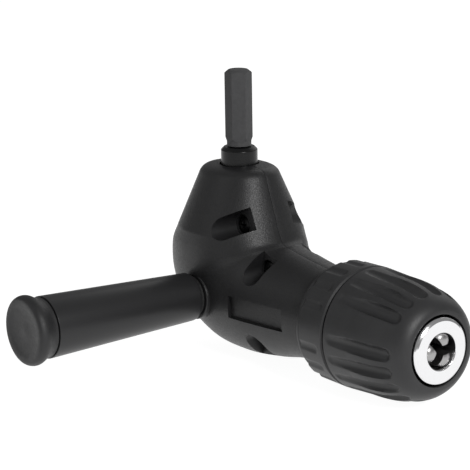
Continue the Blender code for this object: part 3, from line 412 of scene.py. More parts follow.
# The same for the spindle: opening, bearing, shoulder and bush
OUTPUT_SEAT = (
    (0.0535, ON_AXIS), (0.0535, NECK_OPENING_RADIUS), (0.0493, NECK_OPENING_RADIUS), (0.0493, 0.01215),
    (0.0427, 0.01215), (0.0427, 0.0108), (0.0332, 0.0108), (0.0332, 0.00815), (0.0230, 0.00815),
    (0.0230, ON_AXIS),
)
SEAT_COLUMNS = 128
# Each screw pocket's X, its height over the gear centre, and the way it opens in degrees
POCKETS = (
    (0.0119, 0.0246, 29.0), (0.0254, 0.0118, 75.0), (0.0262, -0.0126, -100.0), (-0.0150, -0.0030, 187.0),
)
POCKET_RADIUS = 0.00385
POCKET_FLOOR = 0.0077
POCKET_REACH = 0.0200
BOSS_REACH = 0.0120
POST_RADIUS = 0.0040
SINK_RADIUS = 0.0034
SINK_FLOOR = 0.0053
SCREW_HOLE_RADIUS = 0.00155
LEFT_HOLE_END = 0.0063
RIGHT_HOLE_END = 0.0062
PANEL_START = 0.0170
PANEL_LENGTH = 0.0250
PANEL_HEIGHT = 0.0074
PANEL_MIDDLE = -0.0005
PANEL_SIDE = 0.0183
PANEL_SINK = 0.0013
PANEL_FALL = 0.0029
PANEL_TOOL_DEPTH = 0.0080
PAD_RADIUS = 0.0080
PAD_EASING = 0.0004
PAD_FACE = 0.0204
PAD_HEIGHT = 0.0050
NUT_BOSS_RADIUS = 0.0094
NUT_BOSS_START = 0.0127
NUT_ROOM_START = 0.0120
NUT_ROOM_END = 0.0195
NUT_ROOM_CORNER_RADIUS = 0.00781
STUD_HOLE_RADIUS = 0.00415
STUD_HOLE_START = 0.0130
CUT_OVERLAP = 0.001
FAR = 0.0400


def stations_at(places):
    """Sections at places along the station list: straight between the first two, and below them a
    Hermite cubic whose slope at each station is half the step between its neighbours."""
    last = len(STATIONS) - 1
    index = np.minimum(places.astype(int), last - 1)
    share = (places - index)[:, None]
    padded = np.vstack([STATIONS[0], STATIONS, 2 * STATIONS[-1] - STATIONS[-2]])
    before, here, after, beyond = (padded[index + i] for i in range(4))
    before = np.where(index[:, None] == 1, 2 * here - after, before)
    slope_here, slope_after = (after - before) / 2, (beyond - here) / 2
    curve = (here * (2 * share ** 3 - 3 * share ** 2 + 1) + after * (3 * share ** 2 - 2 * share ** 3)
             + slope_here * (share ** 3 - 2 * share ** 2 + share) + slope_after * (share ** 3 - share ** 2))
    straight = here + (after - here) * share
    return np.where(index[:, None] == 0, straight, curve)


def half_sections(sections, side, inset):
    """Loops of points round one half: a slightly squared half ellipse from its front point round the
    side to its back point. Along is a signed cosine, and across a sine, each to the power 2 over the
    squareness. The outer form's edges at the seam are eased by a small radius."""
    front = np.stack([sections[:, 0], 0 * sections[:, 0], sections[:, 1]], 1)
    back = np.stack([sections[:, 2], 0 * sections[:, 0], sections[:, 3]], 1)
    middle, reach = (front + back) / 2, (front - back) / 2
    length = np.linalg.norm(reach, axis=1)[:, None]
    direction = reach / length
    angles = np.linspace(0, math.pi, COLUMNS_ROUND_HALF + 1)
    along = np.sign(np.cos(angles)) * np.abs(np.cos(angles)) ** (2 / SQUARENESS)
    across = np.sin(angles) ** (2 / SQUARENESS)
    half_width = (sections[:, 4] - inset)[:, None] * across
    distance = (length - inset) * along
    if inset == 0:
        near = np.clip(1 - half_width / SEAM_EASING, 0, 1)
        distance = distance - np.sign(along) * SEAM_EASING * SEAM_DEPTH_SHARE * (1 - np.sqrt(1 - near ** 2))
    points = middle[:, None] + direction[:, None] * distance[..., None]
    points[..., 1] = side * (PARTING_GAP / 2 + half_width)
    if inset:
        ends = points[:, [0, -1]].copy()
        ends[..., 1] = -side * CUT_OVERLAP
        points = np.concatenate([ends[:, :1], points, ends[:, 1:]], 1)
    return points + np.array(GEAR_CENTRE)


def peg_mesh(name, radius, low, high, side, reach=0.0, sides=48):
    """A peg along Y for each pocket: round, or with a reach a slot whose straight end points the way
    that the pocket opens."""
    pieces = []
    for x, z, opens in POCKETS:
        way = math.radians(opens)
        if reach:
            angles = way + np.linspace(math.pi / 2, 3 * math.pi / 2, sides)
            outline = np.stack([x + radius * np.cos(angles), z + radius * np.sin(angles)], 1)
            ends = outline[[-1, 0]] + reach * np.array((math.cos(way), math.sin(way)))
            outline = np.vstack([outline, ends])
        else:
            angles = np.linspace(0, 2 * math.pi, sides, endpoint=False)
            outline = np.stack([x + radius * np.cos(angles), z + radius * np.sin(angles)], 1)
        rows = [np.insert(outline, 1, side * distance, axis=1) for distance in (low, high)]
        pieces.append(skin("peg", np.array(rows) + np.array(GEAR_CENTRE)))
    return join_meshes(name, pieces)


def join_meshes(name, pieces):
    """One object from several that don't touch."""
    shape = bmesh.new()
    for piece in pieces:
        shape.from_mesh(piece.data)
        bpy.data.objects.remove(piece)
    mesh = bpy.data.meshes.new(name)
    shape.to_mesh(mesh)
    shape.free()
    obj = bpy.data.objects.new(name, mesh)
    bpy.context.scene.collection.objects.link(obj)
    return obj


def cut(obj, tools, operation="DIFFERENCE", sharp=30):
    """Cuts or joins tools one after the other, makes the result the object's mesh and removes them."""
    for tool in tools:
        modifier = obj.modifiers.new("cut", "BOOLEAN")
        modifier.operation = operation
        modifier.object = tool
        modifier.solver = "EXACT"
    bpy.context.view_layer.update()
    done = bpy.data.meshes.new_from_object(obj.evaluated_get(bpy.context.evaluated_depsgraph_get()))
    obj.modifiers.clear()
    obj.data = done
    done.shade_smooth()
    done.set_sharp_from_angle(angle=math.radians(sharp))
    for tool in tools:
        bpy.data.objects.remove(tool)
    return obj


def cylinder(name, radius, low, high, axis, columns=96):
    """A plain cylinder along an axis, from low to high."""
    return skin(name, spun(np.array(((low, radius), (high, radius))), axis, columns))


# Glass-filled nylon off a spark-eroded mould: near black, with a grain of about half a millimetre
# that breaks up the sheen, a little coarser than the real one so that it shows
moulded_nylon = finish("spark_eroded_nylon", "#1f1f20", {"IOR": 1.53, "Specular IOR Level": 0.41},
                       (0.34, 0.54), (0.00048, 3.0, 0.6), shades=("#1e1e1f", "#212122"), cloud=0.009,
                       bump=(0.6, 0.00013))

last_station = len(STATIONS) - 1
cone = (STATIONS[1, 0] - HOOD_SHOULDER_RADIUS) / (HOOD_SHOULDER - STATIONS[1, 1])
edge_radius = HOOD_SHOULDER_RADIUS - (HOOD_EDGE - HOOD_SHOULDER) * cone
hood_profile = rounded([(HOOD_TOP, HOOD_OPENING_RADIUS), (HOOD_EDGE, edge_radius, HOOD_EASING),
                        (HOOD_SHOULDER - HOOD_EASING, HOOD_SHOULDER_RADIUS + HOOD_EASING * cone)], 14)[:-1]
cap_height, cap_radius = hood_profile.T
cap_width = HOOD_SHOULDER_WIDTH + (cap_radius - HOOD_SHOULDER_RADIUS) * (
    STATIONS[1, 4] - HOOD_SHOULDER_WIDTH) / (STATIONS[1, 0] - HOOD_SHOULDER_RADIUS)
cap_sections = np.stack([cap_radius, cap_height, -cap_radius, cap_height, cap_width], 1)
hood_start = (HOOD_SHOULDER - cap_height[-1]) / (HOOD_SHOULDER - STATIONS[1, 1])
skin_places = np.concatenate([np.linspace(hood_start, 1, HOOD_ROWS)[1:-1],
                              np.linspace(1, last_station, ROWS_PER_SPAN * (last_station - 1))])
cavity_start = (HOOD_SHOULDER - CAVITY_TOP) / (HOOD_SHOULDER - STATIONS[1, 1])
cavity_places = np.linspace(cavity_start, CAVITY_LAST_STATION, CAVITY_ROWS)
for side, half_name, word in ((-1, "housing_left", "left"), (1, "housing_right", "right")):
    sections = np.vstack([cap_sections, stations_at(skin_places)])
    half = skin("shell_" + word, half_sections(sections, side, 0), False, moulded_nylon)
    cavity = skin("cavity", half_sections(stations_at(cavity_places), side, WALL))
    boss_start = POCKET_FLOOR - WALL
    cut(cavity, [peg_mesh("bosses", POCKET_RADIUS + WALL, boss_start, FAR, side, BOSS_REACH),
                 peg_mesh("posts", POST_RADIUS, -2 * CUT_OVERLAP, boss_start + CUT_OVERLAP, side),
                 cylinder("web", FAR, WEB_START, WEB_END, "spindle")])
    if side < 0:
        cut(cavity, [cylinder("nut_boss", NUT_BOSS_RADIUS, NUT_BOSS_START, PAD_FACE, "handle")])
        pad = rounded([(PAD_FACE - PAD_HEIGHT, ON_AXIS), (PAD_FACE - PAD_HEIGHT, PAD_RADIUS),
                       (PAD_FACE, PAD_RADIUS, PAD_EASING), (PAD_FACE, ON_AXIS)])
        cut(half, [skin("pad", spun(pad, "handle", SEAT_COLUMNS))], "UNION")
    tools = [
        cavity,
        peg_mesh("pockets", POCKET_RADIUS, POCKET_FLOOR, FAR, side, POCKET_REACH),
        peg_mesh("holes", SCREW_HOLE_RADIUS, -CUT_OVERLAP, LEFT_HOLE_END if side < 0 else RIGHT_HOLE_END,
                 side),
        skin("input_seat", spun(np.array(INPUT_SEAT), "shank", SEAT_COLUMNS)),
        skin("output_seat", spun(np.array(OUTPUT_SEAT), "spindle", SEAT_COLUMNS)),
    ]
    if side < 0:
        nut_room = np.array([(end, NUT_ROOM_CORNER_RADIUS) for end in (NUT_ROOM_START, NUT_ROOM_END)])
        tools += [
            peg_mesh("sinks", SINK_RADIUS, SINK_FLOOR, POCKET_FLOOR + CUT_OVERLAP, side),
            skin("nut_room", spun(nut_room, "handle", 6)),
            cylinder("stud_hole", STUD_HOLE_RADIUS, STUD_HOLE_START, PAD_FACE + CUT_OVERLAP, "handle"),
        ]
        lean = math.atan2(PANEL_FALL, PANEL_LENGTH)
        outline = np.array(((0, 0), (PANEL_LENGTH, 0), (PANEL_LENGTH, -PANEL_TOOL_DEPTH),
                            (0, -PANEL_TOOL_DEPTH)))
        spin = np.array(((math.cos(lean), math.sin(lean)), (-math.sin(lean), math.cos(lean))))
        outline = outline @ spin + (PANEL_START, PANEL_SINK - PANEL_SIDE)
        rows = [np.insert(outline, 2, PANEL_MIDDLE + way * PANEL_HEIGHT / 2, axis=1) for way in (-1, 1)]
        tools.append(skin("panel", np.array(rows) + np.array(GEAR_CENTRE)))
    cut(half, tools)
    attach(half, "housing")
    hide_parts(half_name)

# Housing screws. Four thread-forming screws with pan heads, blacked, driven from the left half into
# posts on the right. They sit sunk below the pockets' floors and have a cross recess.
SCREW_HEAD_RADIUS = 0.0027
SCREW_HEAD_HEIGHT = 0.0021
SCREW_CROWN_RADIUS = 0.0020
SCREW_CROWN_FALL = 0.0003
SCREW_RADIUS = 0.0014
SCREW_THREAD_PITCH = 0.0010
SCREW_CORE_RADIUS = 0.0010
RECESS_DEPTH = 0.0011
RECESS_ARM = 0.00135
RECESS_WIDTH = 0.00033
RECESS_SLOPE = 0.00012
SCREW_COLUMNS = 72

screw_steel = finish("blacked_screw_steel", "#161617", {"Metallic": 0.6}, (0.30, 0.50), (0.0004, 3.0))


def pan_head_screw(name, number):
    """A pan head with a cross recess on a threaded shank. The recess is as deep as the smaller of two
    ramps: the arm's length less the larger side distance, and its half width less the smaller one."""
    x, z, _ = POCKETS[number - 1]
    low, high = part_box(name)
    head, tip = -low.y, -high.y
    place = Vector((x, 0, GEAR_CENTRE.z + z))
    crown = np.linspace(ON_AXIS, SCREW_CROWN_RADIUS, 14)
    head_rows = np.stack([head - SCREW_CROWN_FALL * (crown / SCREW_CROWN_RADIUS) ** 2, crown], 1)
    rim = rounded([(head - SCREW_CROWN_FALL, SCREW_CROWN_RADIUS),
                   (head - 2 * SCREW_CROWN_FALL, SCREW_HEAD_RADIUS, 0.0006),
                   (head - SCREW_HEAD_HEIGHT, SCREW_HEAD_RADIUS, 0.0002),
                   (head - SCREW_HEAD_HEIGHT, SCREW_RADIUS)])
    shank = np.arange(head - SCREW_HEAD_HEIGHT, tip + SCREW_RADIUS, -SCREW_THREAD_PITCH / 6)
    shank = np.stack([shank, np.full(len(shank), SCREW_RADIUS)], 1)
    profile = np.vstack([head_rows, rim[1:], shank[1:], (tip + 0.0002, 0.0005), (tip, ON_AXIS)])

    def thread(along, radius, angles):
        """A triangle wave of the place along the screw less the part of a turn, to the power 1.5."""
        turns = along / SCREW_THREAD_PITCH - angles / (2 * math.pi)
        crest = 1 - np.abs(2 * (turns % 1) - 1)
        threaded = (radius == SCREW_RADIUS) & (along < head - SCREW_HEAD_HEIGHT - 0.0002)
        height = (SCREW_RADIUS - SCREW_CORE_RADIUS) * crest ** 1.5
        return np.where(threaded, SCREW_CORE_RADIUS + height, radius)

    rows = spun(profile, "handle", SCREW_COLUMNS, thread, place)
    top = rows[:len(crown)]
    aside, above = np.abs(top[..., 0] - x), np.abs(top[..., 2] - place.z)
    reach = np.minimum(RECESS_ARM - np.maximum(aside, above), RECESS_WIDTH - np.minimum(aside, above))
    top[..., 1] += RECESS_DEPTH * np.clip(reach / RECESS_SLOPE, 0, 1)
    return skin(name + "_pan_head", rows, False, screw_steel, 35)


for number in range(1, 5):
    name = "housing_screw_%d" % number
    screw = pan_head_screw(name, number)
    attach(screw, "housing")
    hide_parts(name)

# Gear train. Two equal straight bevel gears, case-hardened, turn in ball bearings and a sintered
# bronze bush; retaining rings, a lip seal and the chuck's turned spindle go with them. The solids are
# shaped as the real pieces are, so they stay and take their finishes.
gear_steel = finish("case_hardened_steel", "#8b8a88", {"Metallic": 1.0}, (0.30, 0.45), (0.0008, 4.0),
                    shades=("#77767a", "#93918c"))
bright_steel = finish("turned_bright_steel", "#b9b9bb", {"Metallic": 1.0}, (0.20, 0.34), (0.00025,))
sintered_bronze = finish("sintered_bronze", "#a77a45", {"Metallic": 1.0}, (0.40, 0.60), (0.00015, 3.0),
                         shades=("#8a6236", "#b48750"))
nitrile_rubber = finish("moulded_nitrile_rubber", "#1b1b1b", {"IOR": 1.52}, (0.55, 0.75), (0.0006, 3.0))


def finish_nodes(material, *names):
    """Gives these solids one finish."""
    for name in names:
        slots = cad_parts[name].data.materials
        slots.clear()
        slots.append(material)


finish_nodes(gear_steel, "input_gear", "output_gear", "jaw_nut")
finish_nodes(bright_steel, "input_bearing_outer", "input_bearing_inner", "output_bearing_outer",
             "output_bearing_inner", "input_retaining_ring", "output_retaining_ring", "output_spindle",
             "chuck_thrust_ring", "jaw_nut_band")
finish_nodes(sintered_bronze, "output_bush")
finish_nodes(nitrile_rubber, "input_seal", "handle_washer")
finish_nodes(screw_steel, "chuck_screw")

# Chuck body. Turned steel with three inclined bores for the jaws, chrome plated over fine turning
# marks. Only the ring at the nose and its bore are seen: the rest is under the sleeve and collar.
CHUCK_NOSE = 0.10074
NOSE_RING_RADIUS = 0.01066
NOSE_FACE_RADIUS = 0.0096
NOSE_HOLE_RADIUS = 0.00583
NOSE_CHAMFER = 0.0004
CHUCK_COLUMNS = 240
JAW_COUNT = 3
JAW_RADIUS = 0.0031
JAW_FIT = 0.00015
JAW_ANGLE = math.radians(15.0)
JAW_PHASE = math.radians(185.0)
JAW_TIP = 0.1020
JAW_OPENING = 0.0018
JAW_TIP_OFFSET = 0.0001
JAW_LENGTH = 0.0290
JAW_DOME = 0.0022
JAW_SET_BACK = 0.0016
JAW_BORE_REAR = 0.0600
# Place along the spindle, radius and easing: the ring, then the outside to the rear and the bore
BODY_PROFILE = (
    (CHUCK_NOSE, NOSE_HOLE_RADIUS, NOSE_CHAMFER), (CHUCK_NOSE, NOSE_FACE_RADIUS, 0.00008),
    (CHUCK_NOSE - 0.0005, NOSE_RING_RADIUS - 0.0003, 0.0003),
    (CHUCK_NOSE - 0.0010, NOSE_RING_RADIUS, 0.0003), (0.0973, NOSE_RING_RADIUS),
    (0.09456, 0.0134, 0.0002), (0.0778, 0.0134, 0.0001), (0.0778, 0.0114), (0.0697, 0.0114),
    (0.0697, 0.01282), (0.0673, 0.01282), (0.0673, 0.01753, 0.0002), (0.0562, 0.01753, 0.0002),
    (0.0562, 0.00491), (0.0650, 0.00491), (0.0650, 0.00265), (0.0670, 0.00265),
    (0.0670, NOSE_HOLE_RADIUS),
)

chrome = finish("chrome_plate", "#e9e9ea", {"Metallic": 1.0}, (0.10, 0.18), marks=(9000, 350, 350))
jaw_apex = JAW_TIP + (JAW_OPENING + JAW_TIP_OFFSET) / math.tan(JAW_ANGLE)


def jaw_frame(number):
    """The turn that lays local Z along a jaw's slide: forwards, and inwards by the jaw's angle."""
    sine, cosine = math.sin(JAW_ANGLE), math.cos(JAW_ANGLE)
    tilt = Matrix(((sine, 0, cosine), (cosine, 0, -sine), (0, 1, 0)))
    return Matrix.Rotation(JAW_PHASE + 2 * math.pi * number / JAW_COUNT, 3, "X") @ tilt


body = skin("chuck_body_turned", spun(rounded(BODY_PROFILE), "spindle", CHUCK_COLUMNS), True, chrome, 30)
bores = []
for number in range(JAW_COUNT):
    ends = [(x - jaw_apex) / math.cos(JAW_ANGLE) for x in (JAW_BORE_REAR, CHUCK_NOSE + CUT_OVERLAP)]
    bore = cylinder("bore", JAW_RADIUS + JAW_FIT, 0, 1, "shank", 48)
    place = np.empty(len(bore.data.vertices) * 3)
    bore.data.vertices.foreach_get("co", place)
    place = place.reshape(-1, 3) - np.array(GEAR_CENTRE)
    place[:, 2] = ends[0] + (ends[1] - ends[0]) * place[:, 2]
    place = place @ np.array(jaw_frame(number)).T + np.array(GEAR_CENTRE) + (jaw_apex, 0, 0)
    bore.data.vertices.foreach_set("co", place.ravel())
    bores.append(bore)
cut(body, bores)
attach(body, "output_shaft")
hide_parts("chuck_body")

# Chuck collar and sleeve. Both are moulded in glass-filled nylon. Round-ended flutes for the fingers
# run along them in groups of five, shallow on the collar and deepening towards the nose on the
# sleeve, which turns to drive the jaws.
CHUCK_REAR = 0.0520
COLLAR_WEB = 0.0532
SKIRT_RADIUS = 0.0151
CHUCK_SEAM = 0.0670
SEAM_EDGE = 0.0005
CHUCK_RADIUS = 0.01993
SLEEVE_TAPER = 0.055
NOSE_CURVE_START = 0.0780
NOSE_CURVE_LENGTH = 0.0220
NOSE_FULLNESS = 2.3
SLEEVE_FRONT = 0.0998
LIP_RADIUS = 0.01136
LIP_WALL = 0.0010
FLUTE_POSITIONS = 18
FLUTE_GROUP = 6
FLUTE_RADIUS = 0.0023
FLUTE_EDGE = 0.00050
# Phase, start, end, and the depths at the start and at the end
SLEEVE_FLUTES = (math.radians(158.0), 0.0712, 0.0940, 0.0006, 0.0014)
COLLAR_FLUTES = (math.radians(172.0), CHUCK_REAR - FLUTE_RADIUS, 0.0630, 0.0007, 0.0007)
FLUTED_COLUMNS = 600
SLEEVE_STRAIGHT_ROWS = 28
SLEEVE_CURVE_ROWS = 56
SLEEVE_BORE_START = 0.0778
SLEEVE_BORE_RADIUS = 0.0171
SLEEVE_MOUTH_RADIUS = 0.01713
SLEEVE_CONE_START = 0.09456
SLEEVE_CONE_RADIUS = 0.0139
LIP_START = 0.0983
COLLAR_ROWS = 26
COLLAR_BORE_START = 0.0559
COLLAR_BORE_RADIUS = 0.01768
COLLAR_HOLE_RADIUS = 0.0066


def sleeve_radius(x):
    """The sleeve's outside: a slight taper, then part of a superellipse down to the lip, which is
    (1 - share ** fullness) ** (1 / fullness) of the drop away from the lip's level, scaled to end there."""
    shoulder = CHUCK_RADIUS - (NOSE_CURVE_START - CHUCK_SEAM) * SLEEVE_TAPER
    drop = shoulder - LIP_RADIUS - LIP_WALL
    share = np.clip((x - NOSE_CURVE_START) / NOSE_CURVE_LENGTH, 0, 1)
    last = (SLEEVE_FRONT - NOSE_CURVE_START) / NOSE_CURVE_LENGTH
    bend = 1 - (1 - np.append(share, last) ** NOSE_FULLNESS) ** (1 / NOSE_FULLNESS)
    curve = shoulder - drop * bend[:-1].reshape(share.shape) / bend[-1]
    return np.where(x < NOSE_CURVE_START, CHUCK_RADIUS - (x - CHUCK_SEAM) * SLEEVE_TAPER, curve)


def fluted(phase, start, end, start_depth, end_depth, surface):
    """Makes a radius_at for spun: the smaller of the radius and the near side of a round-ended groove.

    A groove is a ball of the flute's radius that runs along a line under the surface. Beyond the
    line's ends the ball's section shrinks. Where both radii are close, a parabola eases the edge.
    """
    first = surface(np.array(start)) - start_depth + FLUTE_RADIUS
    last = surface(np.array(end)) - end_depth + FLUTE_RADIUS

    def radius_at(along, radius, angles):
        share = np.clip((along - start) / (end - start), 0, 1)
        line = first + (last - first) * share
        beyond = np.maximum(np.maximum(start - along, along - end), 0)
        section = FLUTE_RADIUS ** 2 - beyond ** 2
        for number in range(FLUTE_POSITIONS):
            if number % FLUTE_GROUP == 0:
                continue
            away = angles - phase - 2 * math.pi * number / FLUTE_POSITIONS
            hit = section - (line * np.sin(away)) ** 2
            groove = line * np.cos(away) - np.sqrt(np.maximum(hit, 0))
            groove = np.where((hit > 0) & (np.cos(away) > 0), groove, radius + 1)
            ease = np.clip(0.5 + (radius - groove) / (2 * FLUTE_EDGE), 0, 1)
            eased = groove * ease + radius * (1 - ease) - FLUTE_EDGE * ease * (1 - ease)
            radius = np.where(groove < radius + FLUTE_EDGE, eased, radius)
        return radius

    return radius_at


# Glass-filled nylon again, off a finer mould than the housing's: smoother and a little greyer
chuck_nylon = finish("satin_nylon", "#2c2c2d", {"IOR": 1.53, "Specular IOR Level": 0.42}, (0.40, 0.50),
                     (0.00030, 3.0, 0.6), shades=("#2b2b2c", "#2f2f30"), cloud=0.006, bump=(0.4, 0.00008))

sleeve_x = np.linspace(CHUCK_SEAM + 2 * SEAM_EDGE, NOSE_CURVE_START, SLEEVE_STRAIGHT_ROWS)[:-1]
last_turn = math.asin((SLEEVE_FRONT - NOSE_CURVE_START) / NOSE_CURVE_LENGTH)
nose_turn = np.linspace(0, last_turn, SLEEVE_CURVE_ROWS)
sleeve_x = np.concatenate([sleeve_x, NOSE_CURVE_START + NOSE_CURVE_LENGTH * np.sin(nose_turn)])
sleeve_front = sleeve_radius(np.array(SLEEVE_FRONT))
sleeve_profile = np.vstack([
    rounded([(SLEEVE_BORE_START, SLEEVE_BORE_RADIUS), (CHUCK_SEAM + SEAM_EDGE, SLEEVE_MOUTH_RADIUS, 0.0001),
             (CHUCK_SEAM + SEAM_EDGE, CHUCK_RADIUS - SEAM_EDGE, 0.0002)]),
    np.stack([sleeve_x, sleeve_radius(sleeve_x)], 1)[:-1],
    rounded([(SLEEVE_FRONT - 0.0001, sleeve_front), (SLEEVE_FRONT, LIP_RADIUS + 0.0006, 0.0003),
             (SLEEVE_FRONT, LIP_RADIUS, 0.0002), (LIP_START, LIP_RADIUS)])[1:],
    ((SLEEVE_CONE_START, SLEEVE_CONE_RADIUS), (SLEEVE_BORE_START, SLEEVE_CONE_RADIUS)),
])
sleeve = skin("fluted_sleeve", spun(sleeve_profile, "spindle", FLUTED_COLUMNS,
                                    fluted(*SLEEVE_FLUTES, sleeve_radius)), True, chuck_nylon, 35)
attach(sleeve, "sleeve")
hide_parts("chuck_sleeve")

collar_x = np.linspace(CHUCK_REAR + 0.0039, CHUCK_SEAM - SEAM_EDGE, COLLAR_ROWS)
collar_side = np.interp(collar_x, (collar_x[0], collar_x[-1]), (CHUCK_RADIUS - 0.0002, CHUCK_RADIUS))
collar_profile = np.vstack([
    rounded([(COLLAR_BORE_START, COLLAR_BORE_RADIUS), (COLLAR_BORE_START, COLLAR_HOLE_RADIUS),
             (COLLAR_WEB, COLLAR_HOLE_RADIUS, 0.0002), (COLLAR_WEB, SKIRT_RADIUS, 0.0002),
             (CHUCK_REAR, SKIRT_RADIUS, 0.0002), (CHUCK_REAR, CHUCK_RADIUS - 0.0025, 0.0006),
             (CHUCK_REAR + 0.00168, CHUCK_RADIUS - 0.0010, 0.0012)], 7),
    np.stack([collar_x, collar_side], 1),
    ((CHUCK_SEAM, CHUCK_RADIUS - SEAM_EDGE), (CHUCK_SEAM, COLLAR_BORE_RADIUS)),
])
collar = skin("fluted_collar", spun(collar_profile, "spindle", FLUTED_COLUMNS,
                                    fluted(*COLLAR_FLUTES, lambda x: CHUCK_RADIUS)), True, chuck_nylon, 35)
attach(collar, "output_shaft")
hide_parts("chuck_collar")

# Jaws. Three round pins of hardened steel slide in the body's inclined bores. Each is ground on two
# faces to a ridge that lies along the chuck's axis, and its tip is domed.
JAW_COLUMNS = 64
JAW_FACE_ANGLE = math.radians(60.0)

jaw_steel = finish("ground_tool_steel", "#a9a8a8", {"Metallic": 1.0}, (0.26, 0.42), (0.0003,))


def ground_jaw(name, number):
    """A domed pin cut by two planes that meet in the ridge, 120 degrees apart."""
    turns = np.linspace(0, math.pi / 2, 9)
    length = JAW_LENGTH / math.cos(JAW_ANGLE)
    radius = np.concatenate([JAW_RADIUS * np.sin(turns), (JAW_RADIUS, ON_AXIS)])
    height = np.concatenate([JAW_DOME * (np.cos(turns) - 1) - JAW_SET_BACK, (-length, -length)])
    radius[0] = ON_AXIS
    pin = skin(name, spun(np.stack([height, radius], 1), "shank", JAW_COLUMNS, None, Vector()))
    outwards = Vector((math.cos(JAW_ANGLE), 0, -math.sin(JAW_ANGLE)))
    slide = jaw_frame(number) @ Vector((0, 0, 1))
    reach = (jaw_apex - JAW_TIP) / math.cos(JAW_ANGLE)
    ridge = Vector((0, 0, reach)) + outwards * JAW_OPENING
    shape = bmesh.new()
    shape.from_mesh(pin.data)
    for side in (-1, 1):
        normal = Vector((0, side, 0)) * math.cos(JAW_FACE_ANGLE) - outwards * math.sin(JAW_FACE_ANGLE)
        whole = shape.verts[:] + shape.edges[:] + shape.faces[:]
        made = bmesh.ops.bisect_plane(shape, geom=whole, dist=1e-6, plane_co=ridge, plane_no=normal,
                                      clear_outer=True)
        rim = [edge for edge in made["geom_cut"] if isinstance(edge, bmesh.types.BMEdge)]
        bmesh.ops.contextual_create(shape, geom=rim)
    place = Matrix.Translation(GEAR_CENTRE + Vector((jaw_apex, 0, 0)) - slide * reach)
    bmesh.ops.transform(shape, matrix=place @ jaw_frame(number).to_4x4(), verts=shape.verts)
    bmesh.ops.recalc_face_normals(shape, faces=shape.faces)
    shape.to_mesh(pin.data)
    shape.free()
    pin.data.shade_smooth()
    pin.data.set_sharp_from_angle(angle=math.radians(30))
    pin.data.materials.append(jaw_steel)
    return pin


for number, body_name in enumerate(("jaw_a", "jaw_b", "jaw_c")):
    jaw = ground_jaw("ground_jaw_%d" % (number + 1), number)
    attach(jaw, body_name)
    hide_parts("jaw_%d" % (number + 1))

# Side handle. A tapered tube moulded in polypropylene carries a zinc-plated M8 stud, which screws into
# a hexagon nut held in the left half. A cap of thermoplastic rubber closes its flared end.
GRIP_ROOT = 0.0218
GRIP_LENGTH = 0.0573
GRIP_ROOT_RADIUS = 0.0081
GRIP_END_RADIUS = 0.0102
GRIP_HOLLOW_RADIUS = 0.0074
GRIP_WEB = 0.0300
STUD_RADIUS = 0.0040
STUD_FIT = 0.00015
STUD_PITCH = 0.00125
STUD_CORE_RADIUS = 0.00335
STUD_LEAD = 0.0006
STUD_TIP_RADIUS = STUD_CORE_RADIUS - 0.0002
STUD_COLUMNS = 64
ROWS_PER_PITCH = 8
CAP_GAP = 0.0003
CAP_LENGTH = 0.0074
CAP_BEAD_RADIUS = 0.01144
CAP_NECK_RADIUS = 0.0098
CAP_PLUG = 0.0080
CAP_DISH = 0.0009
HANDLE_COLUMNS = 144

# Moulded polypropylene with a fine satin: a soft broad sheen along the grip
grip_plastic = finish("satin_polypropylene", "#272728", {"IOR": 1.49, "Specular IOR Level": 0.42},
                      (0.34, 0.42), (0.00025, 3.0, 0.6), shades=("#262627", "#29292a"),
                      bump=(0.20, 0.00003))
# Thermoplastic rubber: softer black with a dusty, even sheen
cap_rubber = finish("thermoplastic_rubber", "#242425", {"IOR": 1.50}, (0.46, 0.58), (0.0010, 3.0),
                    shades=("#222223", "#262627"))
# Zinc plate with a clear passivate: bright, faintly blue, slightly spangled
zinc_plate = finish("zinc_plated_steel", "#bfc3c8", {"Metallic": 1.0}, (0.22, 0.36), (0.0005,),
                    shades=("#b0b4ba", "#cccfd2"))
finish_nodes(zinc_plate, "handle_nut")

grip_end = GRIP_ROOT + GRIP_LENGTH
grip = skin("tapered_grip", spun(rounded([
    (grip_end, GRIP_HOLLOW_RADIUS, 0.0001), (grip_end, GRIP_END_RADIUS, 0.0002),
    (GRIP_ROOT, GRIP_ROOT_RADIUS, 0.0010), (GRIP_ROOT, STUD_RADIUS + STUD_FIT, 0.0002),
    (GRIP_ROOT + GRIP_WEB, STUD_RADIUS + STUD_FIT), (GRIP_ROOT + GRIP_WEB, GRIP_HOLLOW_RADIUS, 0.0005),
]), "handle", HANDLE_COLUMNS), True, grip_plastic, 35)
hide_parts("handle_grip")

cap_start = grip_end + CAP_GAP
cap_end = cap_start + CAP_LENGTH
plug_radius = GRIP_HOLLOW_RADIUS - STUD_FIT
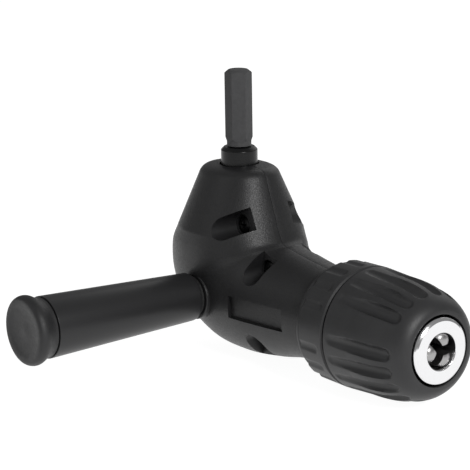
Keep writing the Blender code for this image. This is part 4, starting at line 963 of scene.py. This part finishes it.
# From the middle of the dished face over the bead and along the neck to the plug in the grip
cap = skin("flared_cap", spun(rounded([
    (cap_end - CAP_DISH * 0.75, ON_AXIS), (cap_end - CAP_DISH * 0.78, 0.0008, 0.0006),
    (cap_end - CAP_DISH, CAP_BEAD_RADIUS * 0.30, 0.0020),
    (cap_end - CAP_DISH * 0.6, CAP_BEAD_RADIUS * 0.60, 0.0020),
    (cap_end, CAP_BEAD_RADIUS * 0.78, 0.0010), (cap_end, CAP_BEAD_RADIUS * 0.93, 0.0012),
    (cap_end - 0.0014, CAP_BEAD_RADIUS, 0.0010), (cap_end - 0.0030, CAP_BEAD_RADIUS, 0.0008),
    (cap_start + 0.0014, CAP_NECK_RADIUS, 0.0016), (cap_start, CAP_NECK_RADIUS, 0.0001),
    (cap_start, plug_radius), (cap_start - CAP_PLUG, plug_radius, 0.0005), (cap_start - CAP_PLUG, ON_AXIS),
], 7), "handle", HANDLE_COLUMNS), False, cap_rubber, 35)
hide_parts("handle_cap")

stud_low, stud_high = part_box("handle_stud")
stud_start, stud_end = -stud_high.y, -stud_low.y
stud_rows = np.linspace(stud_start + STUD_LEAD, stud_end - STUD_LEAD,
                        round((stud_end - stud_start) / STUD_PITCH * ROWS_PER_PITCH))
stud_profile = np.vstack([(stud_start, ON_AXIS), (stud_start, STUD_TIP_RADIUS),
                          np.stack([stud_rows, np.full(len(stud_rows), STUD_RADIUS)], 1),
                          (stud_end, STUD_TIP_RADIUS), (stud_end, ON_AXIS)])


def stud_thread(along, radius, angles):
    """The M8 thread: a triangle wave of the place along the stud plus the part of a turn, cut flat at
    its crests."""
    turns = along / STUD_PITCH + angles / (2 * math.pi)
    crest = np.clip(1.25 * (1 - np.abs(2 * (turns % 1) - 1)), 0, 1)
    height = (STUD_RADIUS - STUD_CORE_RADIUS) * crest
    return np.where(radius == STUD_RADIUS, STUD_CORE_RADIUS + height, radius)


stud = skin("threaded_stud", spun(stud_profile, "handle", STUD_COLUMNS, stud_thread), False, zinc_plate, 25)
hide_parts("handle_stud")
for piece in (grip, cap, stud):
    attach(piece, "handle")
